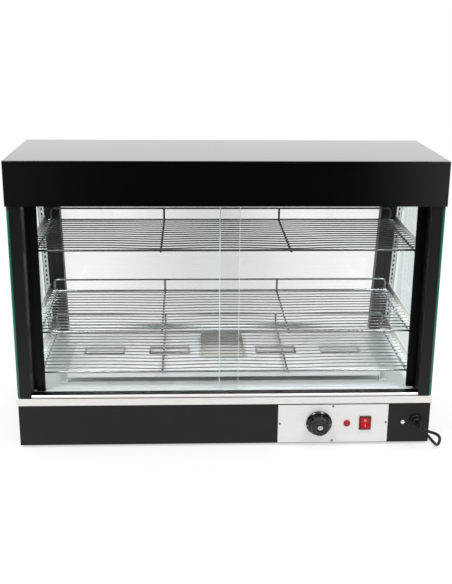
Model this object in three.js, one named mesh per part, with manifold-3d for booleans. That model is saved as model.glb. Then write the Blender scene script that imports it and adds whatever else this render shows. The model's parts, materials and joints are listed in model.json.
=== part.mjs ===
// Counter-top hot food display case with two sliding glass doors and three wire shelves.
// Millimetres. x runs along the case, y runs back from the canopy's front face and z runs up
// from the underside of the base, until the outer group moves them to the origin at the middle
// of the footprint, on the surface that the feet stand on.
import * as THREE from 'three';
import { mergeVertices } from 'three/addons/utils/BufferGeometryUtils.js';
import loadManifold from 'manifold-3d';

const wasm = await loadManifold();
wasm.setup();

// Driving dimensions
const WIDTH = 900;            // over the canopy and the trim band
const HALF = WIDTH / 2;
const SHEET = 1.5;            // folded steel
const GAP = 0.3;              // between pieces that bear on each other
const ORIGIN_Y = 228.2;       // middle of the footprint, knob included
const FOOT_HEIGHT = 6;
const FOOT = { x: 405, front: 45, rear: 435, low: 13, high: 15, spigot: 4 };

const BASE_HALF = 447;
const BASE_FLANGE = 28;       // width of the flange that the trim frame and floor bear on
const BASE_FRONT = 3.2;
const BASE_BACK = 478;
const BASE_TOP = 93;
const VENT = { each_side: 3, pitch: 22, width: 8, front: 200, back: 280 };
const TRIM_TOP = 109.3;
const TRIM_FRONT = 1.2;
const TRIM_BACK = 480;
const TRIM_SIDE = 12;         // width of the trim's top, at the sides and the back
const TRIM_DEEP = 24;         // and along the front

const CANOPY_BOTTOM = 529.6;
const CANOPY_TOP = 622.3;
const CANOPY_TOP_DEPTH = 300;
const CANOPY_LOW_DEPTH = 386;
const CANOPY_KNEE = 552;      // the customer side is upright below this and slopes above it
const GLAZING_TOP = 545;      // glass and posts run this far up inside the canopy
const CEILING_BOTTOM = 548;
const CEILING_RIM = 12;

const GLASS = 5;
const SIDE_GLASS_OUTER = 447.5;
const POST_INNER = 418;
const POST_OUTER = 441.9;
const POST_FRONT = 2;
const POST_BACK = 54;
const POST_LIP = 410;         // return lip behind the doors' tracks
const REAR_INNER = 391;
const REAR_OUTER = 441.9;
const REAR_POST_DEPTH = 28;
const REAR_POST_GROOVE = { end: 22.5, wide: 2, deep: 4 };  // from the post's inner edge
const WALL = 2;               // of the posts' hollow sections
const REAR_SLOPE = -0.197;    // how far the customer side moves back for each mm of height
const REAR_FACE_AT = { y: 365, z: 450 };

const TRACK = { front: 26, back: 52, low: 109.6, top: 116, high: 536, end: 560 };
const SILL = { front: 2.6, top: 117, chamfer: 2 };
const FRONT_GROOVE = 27.2;    // groove edges in the tracks
const REAR_GROOVE = 39.7;
const GROOVE_WIDTH = 6.6;
const DOOR_LOW = 112.4;
const DOOR_HIGH = 546;
const LEFT_DOOR = { from: -409, to: 27, y: 28 };
const RIGHT_DOOR = { from: -15, to: 417.4, y: 40.5 };
const EDGE_WIDTH = 18;
const EDGE_DEPTH = 7.6;

const SHELF_HEIGHTS = { shelf_top: 425, shelf_middle: 243, shelf_bottom: 150 };
const SHELF_DEPTHS = { shelf_top: 352, shelf_middle: 363, shelf_bottom: 372 };
const SHELF_FRONT = 60;
const SHELF_HALF = 417;
const SHELF_PITCH = 20.4;
const SIDE_ROD_X = 403;
const CROSS_ROD_X = 139;
const RAIL_HEIGHT = 27;
const RAIL_HALF = 411;
const RAIL_BEND = 10;
const RAIL_SETBACK = 4.5;
const FRAME_ROD = 2.4;        // radii
const CROSS_ROD = 2;
const LONG_WIRE = 1.5;
const WELD = 0.3;             // how far a wire sinks into the rod that it is welded to

const BRACKET_INNER = 409;
const BRACKET_WALL = 425;
const PILASTER_INNER = 428.5;
const PILASTER_WIDTH = 12;
const PILASTER_THICK = 2;
const PILASTER_LOW = 115;
const PILASTER_HIGH = 524;
const SLOT_PITCH = 12.5;

const FLOOR_TOP = 109.2;
const PLATE = { half: 351, front: 88, back: 358, top: 135, low: 123 };
const PLATE_SLOT = { x: [-279, -126, 126, 279], length: 95, front: 202, back: 249 };
const PAN = { half: 51.5, front: 176, back: 342, deep: 22, rim: 5, corner: 14 };
const ELEMENT_RADIUS = 4;
const ELEMENT = { legs: [72, 112], far: 310, left: 205, right: 246, back: 334, bend: 12, z: 121 };

const PANEL = { left: 113.5, right: 355, low: 1.2, top: 90.5, front: 2.1 };
const PANEL_SCREWS = [[233.5, 87], [233.7, 5.5], [117.4, 46.8], [350.5, 48.3]];
const KNOB = {
  x: 203.5, z: 47, skirt: 28.5, grip: 20.5, back: 1.2, front: -23, insert: 6, shaft: 3,
};
const LAMP = { x: 264.8, z: 46.8, radius: 7.2 };
const SWITCH = {
  x: 304.8, z: 47.2, width: 26, height: 32, pivot: 1.5,
  rocker: { radius: 12.7, corner: 20.6, travel: 19 },
};
const EARTH = { x: 388, z: 48.4, radius: 4.5 };
const TERMINALS = { left: 392, right: 432, front: 30, back: 48, low: 3, top: 22 };
const GLAND = { x: 417, z: 50, nut: 15, front: -9.5 };
// Radii of the round holes in the front, and half the width and height of the switch's.
const HOLES = { knob: 5, lamp: 5.5, gland: 8.5, earth: 2.4, switch_x: 11.5, switch_z: 14.5 };
const SCREW_SHANK = 2;
const CORD_RADIUS = 3.3;
// The cord's route to its coil behind the case, and from the coil to the plug.
const CORD_ROUTE = [
  [417, -10.3, 50], [417.4, -19.1, 49.9], [420, -27.1, 49.2], [425, -34, 47.9],
  [431.7, -38.9, 46.1], [439.5, -41.3, 44], [447.5, -41.5, 41.3], [454.6, -40, 37],
  [460, -37.2, 30.9], [463.1, -33.5, 23.7], [463.9, -29.3, 16.2], [463.8, -24.7, 9],
  [463.5, -18.6, 3], [462.9, -11, -0.9], [462, -2.5, -2.4], [458.6, 19, -2.4], [455.4, 44, -2.4],
  [452.9, 76, -2.4], [451.8, 120, -2.4], [452, 170, -2.4], [452.5, 230, -2.4], [453, 300, -2.4],
  [454, 380, -2.4], [456, 450, -2.4], [457, 510, -2.4],
];
const COIL = { x: 404.5, y: 540, inner: 21, outer: 56, low: -5, high: 1.1 };
const TAIL_ROUTE = [
  [402.5, 564.8, 4.9], [386.5, 566, 4.9], [368.5, 569, 4.9], [352.5, 573, 4.6], [338.5, 576.3, 3.2],
  [324.5, 577.8, 1.7], [308.4, 578, 1],
];
const PLUG = { tip: 250, back: 308, y: 578, z: 1, height: 14, width: 26 };

const COLOURS = {
  gloss_black: [0x0b0c0b, 0.12, 0.2],
  satin_black: [0x2e2e2c, 0.45, 0.3],
  base_black: [0x373835, 0.5, 0.2],
  stainless: [0xdad8d4, 0.3, 0.9],
  chrome: [0xcfd3d6, 0.12, 1],
  glass: [0xd8efe6, 0.03, 0],
  knob_black: [0x1a1b1c, 0.25, 0],
  red: [0xc01020, 0.25, 0],
  rubber: [0x161616, 0.8, 0],
  element_steel: [0x6b6f70, 0.45, 0.9],
};

// Solids

function solidOf(geometry) {
  const bare = geometry.index ? geometry.toNonIndexed() : geometry.clone();
  bare.deleteAttribute('normal');
  bare.deleteAttribute('uv');
  const merged = mergeVertices(bare, 1e-4);
  return new wasm.Manifold(new wasm.Mesh({
    numProp: 3,
    vertProperties: new Float32Array(merged.attributes.position.array),
    triVerts: new Uint32Array(merged.index.array),
  }));
}

function geometryOf(solid) {
  const mesh = solid.getMesh();
  const geometry = new THREE.BufferGeometry();
  geometry.setAttribute('position', new THREE.BufferAttribute(mesh.vertProperties, 3));
  geometry.setIndex(new THREE.BufferAttribute(mesh.triVerts, 1));
  geometry.computeVertexNormals();
  return geometry;
}

function join(...geometries) {
  return geometryOf(geometries.map(solidOf).reduce((whole, next) => whole.add(next)));
}

function cut(geometry, ...tools) {
  return geometryOf(tools.map(solidOf).reduce((rest, tool) => rest.subtract(tool), solidOf(geometry)));
}

function box(x0, x1, y0, y1, z0, z1) {
  return new THREE.BoxGeometry(x1 - x0, y1 - y0, z1 - z0)
    .translate((x0 + x1) / 2, (y0 + y1) / 2, (z0 + z1) / 2);
}

function outline(points) {
  return new THREE.Shape(points.map(([a, b]) => new THREE.Vector2(a, b)));
}

// An outline in x and y, raised from z0 to z1.
function raised(shape, z0, z1, curveSegments = 4) {
  return new THREE.ExtrudeGeometry(shape, { depth: z1 - z0, bevelEnabled: false, curveSegments })
    .translate(0, 0, z0);
}

// An outline in y and z, run along x from x0 to x1.
function alongX(points, x0, x1) {
  return new THREE.ExtrudeGeometry(outline(points), { depth: x1 - x0, bevelEnabled: false })
    .applyMatrix4(new THREE.Matrix4().makeBasis(
      new THREE.Vector3(0, 1, 0), new THREE.Vector3(0, 0, 1), new THREE.Vector3(1, 0, 0)))
    .translate(x0, 0, 0);
}

function roundedRectangle(x0, x1, y0, y1, r) {
  const shape = new THREE.Shape();
  shape.moveTo(x0 + r, y0);
  shape.absarc(x1 - r, y0 + r, r, -Math.PI / 2, 0);
  shape.absarc(x1 - r, y1 - r, r, 0, Math.PI / 2);
  shape.absarc(x0 + r, y1 - r, r, Math.PI / 2, Math.PI);
  shape.absarc(x0 + r, y0 + r, r, Math.PI, 1.5 * Math.PI);
  return shape;
}

// A turned piece on an axis along y: [radius, y] pairs from the axis back to the axis.
function turned(x, z, profile, sides = 24) {
  return new THREE.LatheGeometry(profile.map(([r, y]) => new THREE.Vector2(r, y)), sides)
    .translate(x, 0, z);
}

function disc(x, z, radius, y0, y1, sides = 24) {
  return turned(x, z, [[0, y0], [radius, y0], [radius, y1], [0, y1]], sides);
}

// A path whose equal steps are its own points, so that a straight run costs one step.
class Route extends THREE.Curve {
  constructor(points) {
    super();
    this.points = points.map((point) => (point.isVector3 ? point : new THREE.Vector3(...point)));
    this.steps = this.points.length - 1;
  }

  getPoint(t) {
    const place = Math.min(Math.max(t, 0), 1) * this.steps;
    const i = Math.min(Math.floor(place + 1e-6), this.steps - 1);
    return this.points[i].clone().lerp(this.points[i + 1], Math.min(Math.max(place - i, 0), 1));
  }

  getPointAt(u) {
    return this.getPoint(u);
  }

  getTangentAt(u) {
    const i = Math.round(u * this.steps);
    const tangent = new THREE.Vector3();
    for (const j of [i - 1, i]) {
      if (j < 0 || j >= this.steps) continue;
      tangent.add(this.points[j + 1].clone().sub(this.points[j]).normalize());
    }
    return tangent.normalize();
  }
}

// Points of a quarter bend from a to c round the corner b, without a itself.
function bend(a, b, c, steps = 3) {
  const curve = new THREE.QuadraticBezierCurve3(
    new THREE.Vector3(...a), new THREE.Vector3(...b), new THREE.Vector3(...c));
  return curve.getPoints(steps).slice(1);
}

// A rod through points, with flats that touch a circle of the radius.
function rod(points, radius, sides = 6) {
  const route = new Route(points);
  const section = new THREE.Shape();
  const corner = radius / Math.cos(Math.PI / sides);
  for (let i = 0; i < sides; i += 1) {
    const turn = (2 * Math.PI * (i + 0.5)) / sides;
    const step = i === 0 ? 'moveTo' : 'lineTo';
    section[step](corner * Math.cos(turn), corner * Math.sin(turn));
  }
  return new THREE.ExtrudeGeometry(section, {
    steps: route.steps, bevelEnabled: false, extrudePath: route,
  });
}

// The customer side leans: the front face of its posts at height z.
function rearFace(z) {
  return REAR_FACE_AT.y + REAR_SLOPE * (z - REAR_FACE_AT.z);
}

// Leans an upright geometry drawn at y measured from the rear posts' front face.
function lean(geometry) {
  const shear = new THREE.Matrix4().set(
    1, 0, 0, 0,
    0, 1, REAR_SLOPE, rearFace(0),
    0, 0, 1, 0,
    0, 0, 0, 1);
  return geometry.applyMatrix4(shear);
}

const machine = new THREE.Group();
machine.position.set(0, -ORIGIN_Y, FOOT_HEIGHT);

function add(name, geometry, colour) {
  const [color, roughness, metalness] = COLOURS[colour];
  const material = new THREE.MeshStandardMaterial({ color, roughness, metalness });
  if (colour === 'glass') Object.assign(material, { transparent: true, opacity: 0.3 });
  const mesh = new THREE.Mesh(geometry, material);
  mesh.name = name;
  machine.add(mesh);
  return mesh;
}

// Base

function frontHole({ x, z }, radius) {
  return disc(x, z, radius, 0, 10, 12);
}

// The holes that the front of the base and its control panel share.
function controlHoles() {
  return [
    frontHole(KNOB, HOLES.knob), frontHole(LAMP, HOLES.lamp),
    box(SWITCH.x - HOLES.switch_x, SWITCH.x + HOLES.switch_x, 0, 10,
      SWITCH.z - HOLES.switch_z, SWITCH.z + HOLES.switch_z),
  ];
}

function baseShell() {
  const outer = box(-BASE_HALF, BASE_HALF, BASE_FRONT, BASE_BACK, 0, BASE_TOP);
  const inside = box(-BASE_HALF + SHEET, BASE_HALF - SHEET,
    BASE_FRONT + SHEET, BASE_BACK - SHEET, -1, BASE_TOP - SHEET);
  const mouth = box(-BASE_HALF + BASE_FLANGE, BASE_HALF - BASE_FLANGE,
    BASE_FRONT + BASE_FLANGE, BASE_BACK - BASE_FLANGE, BASE_TOP - 5, BASE_TOP + 5);
  return cut(outer, inside, mouth, ...controlHoles(),
    frontHole(GLAND, HOLES.gland), frontHole(EARTH, HOLES.earth));
}

function bottomCover() {
  const edge = BASE_HALF - SHEET - GAP;
  const plate = box(-edge, edge, BASE_FRONT + SHEET + GAP, BASE_BACK - SHEET - GAP, 1, 2.5);
  const vents = [];
  for (let i = -VENT.each_side; i <= VENT.each_side; i += 1) {
    const x = i * VENT.pitch;
    vents.push(box(x - VENT.width / 2, x + VENT.width / 2, VENT.front, VENT.back, 0, 4));
  }
  return cut(plate, ...vents);
}

function foot(x, y) {
  const { low, high, spigot } = FOOT;
  const profile = [[0, -FOOT_HEIGHT], [low, -FOOT_HEIGHT], [high, -GAP],
    [spigot, -GAP], [spigot, 1 - GAP], [0, 1 - GAP]];
  return turned(0, 0, profile, 20).rotateX(Math.PI / 2).translate(x, y, 0);
}

// A channel, open below, folded round the floor pan.
function trimFrame() {
  const low = BASE_TOP + GAP;
  const ring = (inset, z0, z1) => cut(
    box(-HALF + inset, HALF - inset, TRIM_FRONT + inset, TRIM_BACK - inset, z0, z1),
    box(-HALF + TRIM_SIDE - inset, HALF - TRIM_SIDE + inset,
      TRIM_FRONT + TRIM_DEEP - inset, TRIM_BACK - TRIM_SIDE + inset, z0 - 1, z1 + 1));
  return cut(ring(0, low, TRIM_TOP), ring(SHEET, low - 1, TRIM_TOP - SHEET));
}

function floorPan() {
  const half = HALF - TRIM_SIDE - GAP;
  const front = TRIM_FRONT + TRIM_DEEP + GAP;
  const back = TRIM_BACK - TRIM_SIDE - GAP;
  const tray = cut(box(-half, half, front, back, BASE_TOP + GAP, FLOOR_TOP),
    box(-half + SHEET, half - SHEET, front + SHEET, back - SHEET, 0, FLOOR_TOP - SHEET));
  const holes = [];
  for (const side of [-1, 1]) {
    for (const x of ELEMENT.legs) {
      holes.push(box(side * x - 6, side * x + 6, ELEMENT.back - 6, ELEMENT.back + 6, 100, 120));
    }
  }
  return cut(tray, ...holes);
}

// Upright frame

// A post of that section with a rectangular bore. xs are the bore's edges in either order.
function hollow(section, xs, y0, y1) {
  const [x0, x1] = [Math.min(...xs), Math.max(...xs)];
  const bore = new THREE.Path();
  bore.moveTo(x0, y0).lineTo(x1, y0).lineTo(x1, y1).lineTo(x0, y1).closePath();
  section.holes.push(bore);
  return raised(section, TRIM_TOP + GAP, GLAZING_TOP);
}

function frontPost(side) {
  const section = outline([
    [side * POST_INNER, POST_FRONT], [side * POST_OUTER, POST_FRONT], [side * POST_OUTER, POST_BACK],
    [side * POST_LIP, POST_BACK], [side * POST_LIP, POST_BACK - WALL], [side * POST_INNER, POST_BACK - WALL],
  ]);
  return hollow(section, [side * (POST_INNER + WALL), side * (POST_OUTER - WALL)],
    POST_FRONT + WALL, POST_BACK - 2 * WALL);
}

function rearPost(side) {
  const { end, wide, deep } = REAR_POST_GROOVE;
  const section = outline([
    [side * REAR_INNER, 0], [side * (REAR_INNER + end - wide), 0],
    [side * (REAR_INNER + end - wide), deep], [side * (REAR_INNER + end), deep],
    [side * (REAR_INNER + end), 0], [side * REAR_OUTER, 0],
    [side * REAR_OUTER, REAR_POST_DEPTH], [side * REAR_INNER, REAR_POST_DEPTH],
  ]);
  return lean(hollow(section, [side * (REAR_INNER + WALL), side * (REAR_OUTER - WALL)],
    deep + WALL, REAR_POST_DEPTH - WALL));
}

function pilasterShape(side, height) {
  const inner = side * PILASTER_INNER;
  const outer = side * (PILASTER_INNER + PILASTER_WIDTH);
  const strip = outline([[inner, 0], [outer, 0], [outer, height], [inner, height]]);
  const middle = (inner + outer) / 2;
  for (let z = SLOT_PITCH / 2; z < height - SLOT_PITCH / 2; z += SLOT_PITCH) {
    const slot = new THREE.Path();
    slot.moveTo(middle - 2, z - 3.5).lineTo(middle + 2, z - 3.5);
    slot.lineTo(middle + 2, z + 3.5).lineTo(middle - 2, z + 3.5).closePath();
    strip.holes.push(slot);
  }
  return strip;
}

function pilaster(side) {
  const strip = pilasterShape(side, PILASTER_HIGH - PILASTER_LOW);
  return new THREE.ExtrudeGeometry(strip, { depth: PILASTER_THICK, bevelEnabled: false })
    .rotateX(Math.PI / 2).translate(0, 0, PILASTER_LOW);
}

function rearPilaster(side) {
  return lean(pilaster(side).translate(0, -GAP, 0));
}

function frontPilaster(side) {
  return pilaster(side).translate(0, POST_BACK + GAP + PILASTER_THICK, 0);
}

function sideGlass(side) {
  const backAt = (z) => rearFace(z) + REAR_POST_DEPTH;
  const pane = [
    [6, TRIM_TOP + GAP], [backAt(TRIM_TOP), TRIM_TOP + GAP],
    [backAt(GLAZING_TOP), GLAZING_TOP], [6, GLAZING_TOP],
  ];
  const inner = SIDE_GLASS_OUTER - GLASS;
  return side > 0 ? alongX(pane, inner, SIDE_GLASS_OUTER) : alongX(pane, -SIDE_GLASS_OUTER, -inner);
}

function rearGlass() {
  const from = REAR_POST_DEPTH + GAP;
  return lean(box(-SIDE_GLASS_OUTER, SIDE_GLASS_OUTER, from, from + GLASS, TRIM_TOP + GAP, GLAZING_TOP));
}

// Canopy

function canopyShell() {
  const slope = (CANOPY_LOW_DEPTH - CANOPY_TOP_DEPTH) / (CANOPY_TOP - CANOPY_KNEE);
  const side = (t, low, high) => {
    const backAt = (z) => CANOPY_TOP_DEPTH + slope * (CANOPY_TOP - z) - t * Math.hypot(1, slope);
    const back = CANOPY_LOW_DEPTH - t;
    const knee = CANOPY_TOP - (back + t * Math.hypot(1, slope) - CANOPY_TOP_DEPTH) / slope;
    return [[t, low], [back, low], [back, knee], [backAt(high), high], [t, high]];
  };
  const outer = alongX(side(0, CANOPY_BOTTOM, CANOPY_TOP), -HALF, HALF);
  const inside = alongX(side(SHEET, CANOPY_BOTTOM - 5, CANOPY_TOP - SHEET), -HALF + SHEET, HALF - SHEET);
  return cut(outer, inside);
}

function ceilingPan() {
  const half = HALF - SHEET - 2;
  const back = rearFace(CEILING_BOTTOM) + 8;
  const tray = box(-half, half, TRACK.back + GAP, back, CEILING_BOTTOM, CEILING_BOTTOM + CEILING_RIM);
  return cut(tray, box(-half + SHEET, half - SHEET, TRACK.back + GAP + SHEET, back - SHEET,
    CEILING_BOTTOM + SHEET, CEILING_BOTTOM + CEILING_RIM + 1));
}

// Doors and their tracks

function sill() {
  const half = POST_INNER - GAP;
  const { front, top, chamfer } = SILL;
  const back = TRACK.front - 0.4;
  return alongX([
    [front, TRIM_TOP + GAP], [back, TRIM_TOP + GAP], [back, top],
    [front + chamfer, top], [front, top - chamfer],
  ], -half, half);
}

function grooves(z0, z1) {
  return [FRONT_GROOVE, REAR_GROOVE].map((y) => box(-HALF, HALF, y, y + GROOVE_WIDTH, z0, z1));
}

function lowerTrack() {
  const half = POST_LIP - GAP;
  return cut(box(-half, half, TRACK.front, TRACK.back - GAP, TRACK.low, TRACK.top),
    ...grooves(TRACK.low + 2, TRACK.top + 5));
}

function upperTrack() {
  const half = POST_LIP - GAP;
  return cut(box(-half, half, TRACK.front - 2, TRACK.back, TRACK.high, TRACK.end),
    ...grooves(TRACK.high - 5, TRACK.end - 4));
}

function doorGlass({ from, to, y }, handle) {
  const inset = 3;
  const edges = handle < 0 ? [from + inset, to] : [from, to - inset];
  return box(edges[0], edges[1], y, y + GLASS, DOOR_LOW, DOOR_HIGH);
}

function doorEdge({ from, to, y }, handle) {
  const middle = y + GLASS / 2;
  const x0 = handle < 0 ? from : to - EDGE_WIDTH;
  const bar = box(x0, x0 + EDGE_WIDTH, middle - EDGE_DEPTH / 2, middle + EDGE_DEPTH / 2,
    TRACK.top + 0.6, TRACK.high - 0.6);
  const open = handle < 0 ? [x0 + 2.5, x0 + EDGE_WIDTH + 5] : [x0 - 5, x0 + EDGE_WIDTH - 2.5];
  return cut(bar, box(open[0], open[1], y - 0.2, y + GLASS + 0.2, 0, 600));
}

// Shelves

// A welded wire shelf with its wires' tops at z = 0: long wires on cross rods and side rods,
// and a raised rail with rounded corners along the back.
function shelf(back) {
  const wires = [];
  const low = -2 * LONG_WIRE + WELD;
  const lastWire = back - 3;
  for (let y = SHELF_FRONT + 22; y < lastWire; y += SHELF_PITCH) {
    wires.push(rod([[-SHELF_HALF, y, -LONG_WIRE], [SHELF_HALF, y, -LONG_WIRE]], LONG_WIRE, 4));
  }
  for (const y of [SHELF_FRONT, back]) {
    wires.push(rod([[-SHELF_HALF, y, -FRAME_ROD], [SHELF_HALF, y, -FRAME_ROD]], FRAME_ROD));
  }
  for (const x of [-SIDE_ROD_X, SIDE_ROD_X]) {
    wires.push(rod([[x, SHELF_FRONT, low - FRAME_ROD], [x, back, low - FRAME_ROD]], FRAME_ROD));
  }
  for (const x of [-CROSS_ROD_X, CROSS_ROD_X]) {
    const bottom = low - CROSS_ROD;
    const rail = back + RAIL_SETBACK;
    wires.push(rod([
      [x, SHELF_FRONT, bottom], [x, rail - 6, bottom],
      ...bend([x, rail - 6, bottom], [x, rail, bottom], [x, rail, bottom + 6]),
      [x, rail, RAIL_HEIGHT - FRAME_ROD],
    ], CROSS_ROD));
  }
  wires.push(railRod(back + RAIL_SETBACK));
  return join(...wires);
}

function railRod(y) {
  const top = RAIL_HEIGHT - FRAME_ROD;
  const foot = -FRAME_ROD - 4;
  const [x, r] = [RAIL_HALF, RAIL_BEND];
  return rod([
    [-x, y, foot], [-x, y, top - r], ...bend([-x, y, top - r], [-x, y, top], [-x + r, y, top]),
    [x - r, y, top], ...bend([x - r, y, top], [x, y, top], [x, y, top - r]), [x, y, foot],
  ], FRAME_ROD);
}

// An angle that carries one end of a shelf, with a hook on each pilaster.
function shelfBracket(side, surface) {
  const lipTop = surface - 2 * LONG_WIRE + WELD - 2 * FRAME_ROD - GAP;
  const wallTop = surface + 4;
  const back = rearFace(wallTop) - PILASTER_THICK - 2 * GAP;
  const front = POST_BACK + PILASTER_THICK + 2 * GAP;
  const across = (a, b) => (side > 0 ? [a, b] : [-b, -a]);
  return join(
    box(...across(BRACKET_INNER, BRACKET_WALL + SHEET), front, back, lipTop - SHEET, lipTop),
    box(...across(BRACKET_WALL, BRACKET_WALL + SHEET), front, back, lipTop - SHEET, wallTop),
    box(...across(BRACKET_WALL, PILASTER_INNER + 8), front, front + SHEET, lipTop - SHEET, wallTop),
    box(...across(BRACKET_WALL, PILASTER_INNER + 8), back - SHEET, back, lipTop - SHEET, wallTop));
}

// Heating

function heatPlate() {
  const { half, front, back, top, low } = PLATE;
  const folded = cut(box(-half, half, front, back, low, top),
    box(-half - 1, half + 1, front + SHEET, back - SHEET, low - 1, top - SHEET));
  const well = raised(roundedRectangle(-PAN.half - GAP, PAN.half + GAP,
    PAN.front - GAP, PAN.back + GAP, PAN.corner), low, top + 5);
  const slots = PLATE_SLOT.x.map((x) => box(x - PLATE_SLOT.length / 2, x + PLATE_SLOT.length / 2,
    PLATE_SLOT.front, PLATE_SLOT.back, low, top + 5));
  const floor = FLOOR_TOP + GAP;
  const legs = [];
  for (const side of [-1, 1]) {
    for (const y of [front, back - 14]) {
      const across = (a, b) => (side > 0 ? [a, b] : [-b, -a]);
      legs.push(box(...across(half - SHEET, half), y, y + 14, floor, top));
      legs.push(cut(box(...across(half - SHEET, half + 14), y, y + 14, floor, floor + SHEET),
        box(...across(half + 5, half + 9), y + 5, y + 9, floor - 1, floor + 5)));
    }
  }
  return join(cut(folded, well, ...slots), ...legs);
}

function waterPan() {
  const { back } = PAN;
  const rimLow = PLATE.top + GAP;
  const rimTop = rimLow + 1.4;
  const wall = 1;
  const body = raised(roundedRectangle(-PAN.half, PAN.half, PAN.front, back, PAN.corner),
    rimTop - PAN.deep, rimTop);
  const rim = raised(roundedRectangle(-PAN.half - PAN.rim, PAN.half + PAN.rim,
    PAN.front - PAN.rim, back + PAN.rim, PAN.corner + PAN.rim), rimLow, rimTop);
  const hollow = raised(roundedRectangle(-PAN.half + wall, PAN.half - wall,
    PAN.front + wall, back - wall, PAN.corner - wall), rimTop - PAN.deep + wall, rimTop + 5);
  return cut(join(body, rim), hollow);
}

// A sheathed element in a U under its half of the plate, whose ends drop through the floor pan.
function heatingElement(side) {
  const { legs: [inner, outer], far, left, right, back, bend: r, z } = ELEMENT;
  const at = (x, y, height = z) => [side * x, y, height];
  const middle = (left + right) / 2;
  return rod([
    at(inner, back, BASE_TOP + 7), at(inner, back, z - r),
    ...bend(at(inner, back, z - r), at(inner, back), at(inner, back - r)),
    at(inner, left + r), ...bend(at(inner, left + r), at(inner, left), at(inner + r, left)),
    at(far, left), ...bend(at(far, left), at(far + r, left), at(far + 1.4 * r, middle)),
    ...bend(at(far + 1.4 * r, middle), at(far + r, right), at(far, right)),
    at(outer + r, right), ...bend(at(outer + r, right), at(outer, right), at(outer, right + r)),
    at(outer, back - r), ...bend(at(outer, back - r), at(outer, back), at(outer, back, z - r)),
    at(outer, back, BASE_TOP + 7),
  ], ELEMENT_RADIUS, 8);
}

// Controls

function controlPanel() {
  const plate = box(PANEL.left, PANEL.right, PANEL.front, BASE_FRONT - GAP / 2, PANEL.low, PANEL.top);
  return cut(plate, ...controlHoles());
}

function panelScrew([x, z]) {
  const seat = PANEL.front - GAP / 2;
  return turned(x, z, [[0, 0.6], [1.4, 0.7], [2.3, 1.3], [2.5, seat], [0, seat]], 12);
}

function thermostatKnob() {
  const { x, z, skirt, grip, back, front } = KNOB;
  const skirtFront = back - 5;
  const base = turned(x, z, [
    [0, skirtFront], [skirt - 4, skirtFront], [skirt, back - 1.5], [skirt, back], [0, back],
  ]);
  const flutes = 14;
  const shape = new THREE.Shape();
  for (let i = 0; i < 2 * flutes; i += 1) {
    const turn = (Math.PI * i) / flutes;
    const r = i % 2 ? grip - 1.2 : grip;
    shape[i ? 'lineTo' : 'moveTo'](r * Math.cos(turn), r * Math.sin(turn));
  }
  const handle = new THREE.ExtrudeGeometry(shape, { depth: skirtFront + 1 - front, bevelEnabled: false })
    .rotateX(Math.PI / 2).translate(x, skirtFront + 1, z);
  const pocket = disc(x, z, KNOB.insert + GAP, front - 1, front + 3, 16);
  const bore = disc(x, z, KNOB.shaft + GAP, -15, back + 1, 12);
  return cut(join(base, handle), pocket, bore);
}

function knobInsert() {
  const { x, z, front, insert } = KNOB;
  const back = front + 3 - GAP;
  return turned(x, z, [
    [0, front - 0.6], [insert - 1.5, front - 0.4], [insert, front + 0.4], [insert, back], [0, back],
  ], 16);
}

function thermostat() {
  const { x, z } = KNOB;
  const body = box(x - 20, x + 20, BASE_FRONT + SHEET + GAP, 34, z - 17, z + 17);
  const shaft = disc(x, z, KNOB.shaft, -14.5, 10, 12);
  return join(body, shaft);
}

function pilotLamp() {
  const { x, z, radius } = LAMP;
  const dome = [[0, -4.2], [radius * 0.4, -3.9], [radius * 0.75, -2.6], [radius * 0.9, -0.6],
    [radius, -0.4], [radius, PANEL.front - GAP / 2], [5, PANEL.front - GAP / 2], [5, 26], [0, 26]];
  return turned(x, z, dome, 20);
}

function switchHousing() {
  const { x, z, width, height } = SWITCH;
  const bezel = box(x - width / 2, x + width / 2, -0.6, PANEL.front - GAP / 2,
    z - height / 2, z + height / 2);
  const body = box(x - 11, x + 11, 0, 27, z - 14, z + 14);
  const well = box(x - 10.4, x + 10.4, -5, 12, z - 13.1, z + 13.1);
  return cut(join(bezel, body), well);
}

// A rocker that turns about x on ends that are arcs about its pivot. Its front is a shallow V,
// and it rests with the upper half pressed in.
function switchRocker() {
  const { x, z, pivot, rocker } = SWITCH;
  const onArc = (degrees) => {
    const turn = THREE.MathUtils.degToRad(degrees);
    return [-rocker.radius * Math.sin(turn), rocker.radius * Math.cos(turn)];
  };
  const upper = [onArc(rocker.corner), onArc(rocker.corner / 2), onArc(0), onArc(-20), [7, 5]];
  const lower = upper.map(([y, up]) => [y, -up]).reverse();
  return alongX([...lower, [-3, 0], ...upper].reverse(), x - 10, x + 10)
    .rotateX(THREE.MathUtils.degToRad(-rocker.travel / 2)).translate(0, pivot, z);
}

function earthScrew() {
  const { x, z, radius } = EARTH;
  return turned(x, z, [[0, -0.4], [radius * 0.6, 0], [radius, 1.6], [radius, BASE_FRONT - GAP],
    [SCREW_SHANK, BASE_FRONT - GAP], [SCREW_SHANK, 14], [0, 14]], 16);
}

function cableGland() {
  const { x, z, nut, front } = GLAND;
  const profile = [
    [CORD_RADIUS + 0.4, front], [7, front], [10, front + 3], [10.5, front + 6], [nut - 1.5, front + 7],
    [nut, front + 9], [nut, BASE_FRONT - GAP], [8, BASE_FRONT - GAP], [8, 14], [CORD_RADIUS + 0.4, 14],
  ];
  return turned(x, z, [...profile, profile[0]], 20);
}

function terminalBlock() {
  const { left, right, front, back, low, top } = TERMINALS;
  return box(left, right, front, back, low, top);
}

// Supply cord

function powerCord() {
  const curve = new THREE.CatmullRomCurve3(CORD_ROUTE.map((point) => new THREE.Vector3(...point)));
  return rod(curve.getPoints(3 * (CORD_ROUTE.length - 1)), CORD_RADIUS, 8);
}

function cordTail() {
  const curve = new THREE.CatmullRomCurve3(TAIL_ROUTE.map((point) => new THREE.Vector3(...point)));
  return rod(curve.getPoints(2 * (TAIL_ROUTE.length - 1)), CORD_RADIUS, 8);
}

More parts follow.
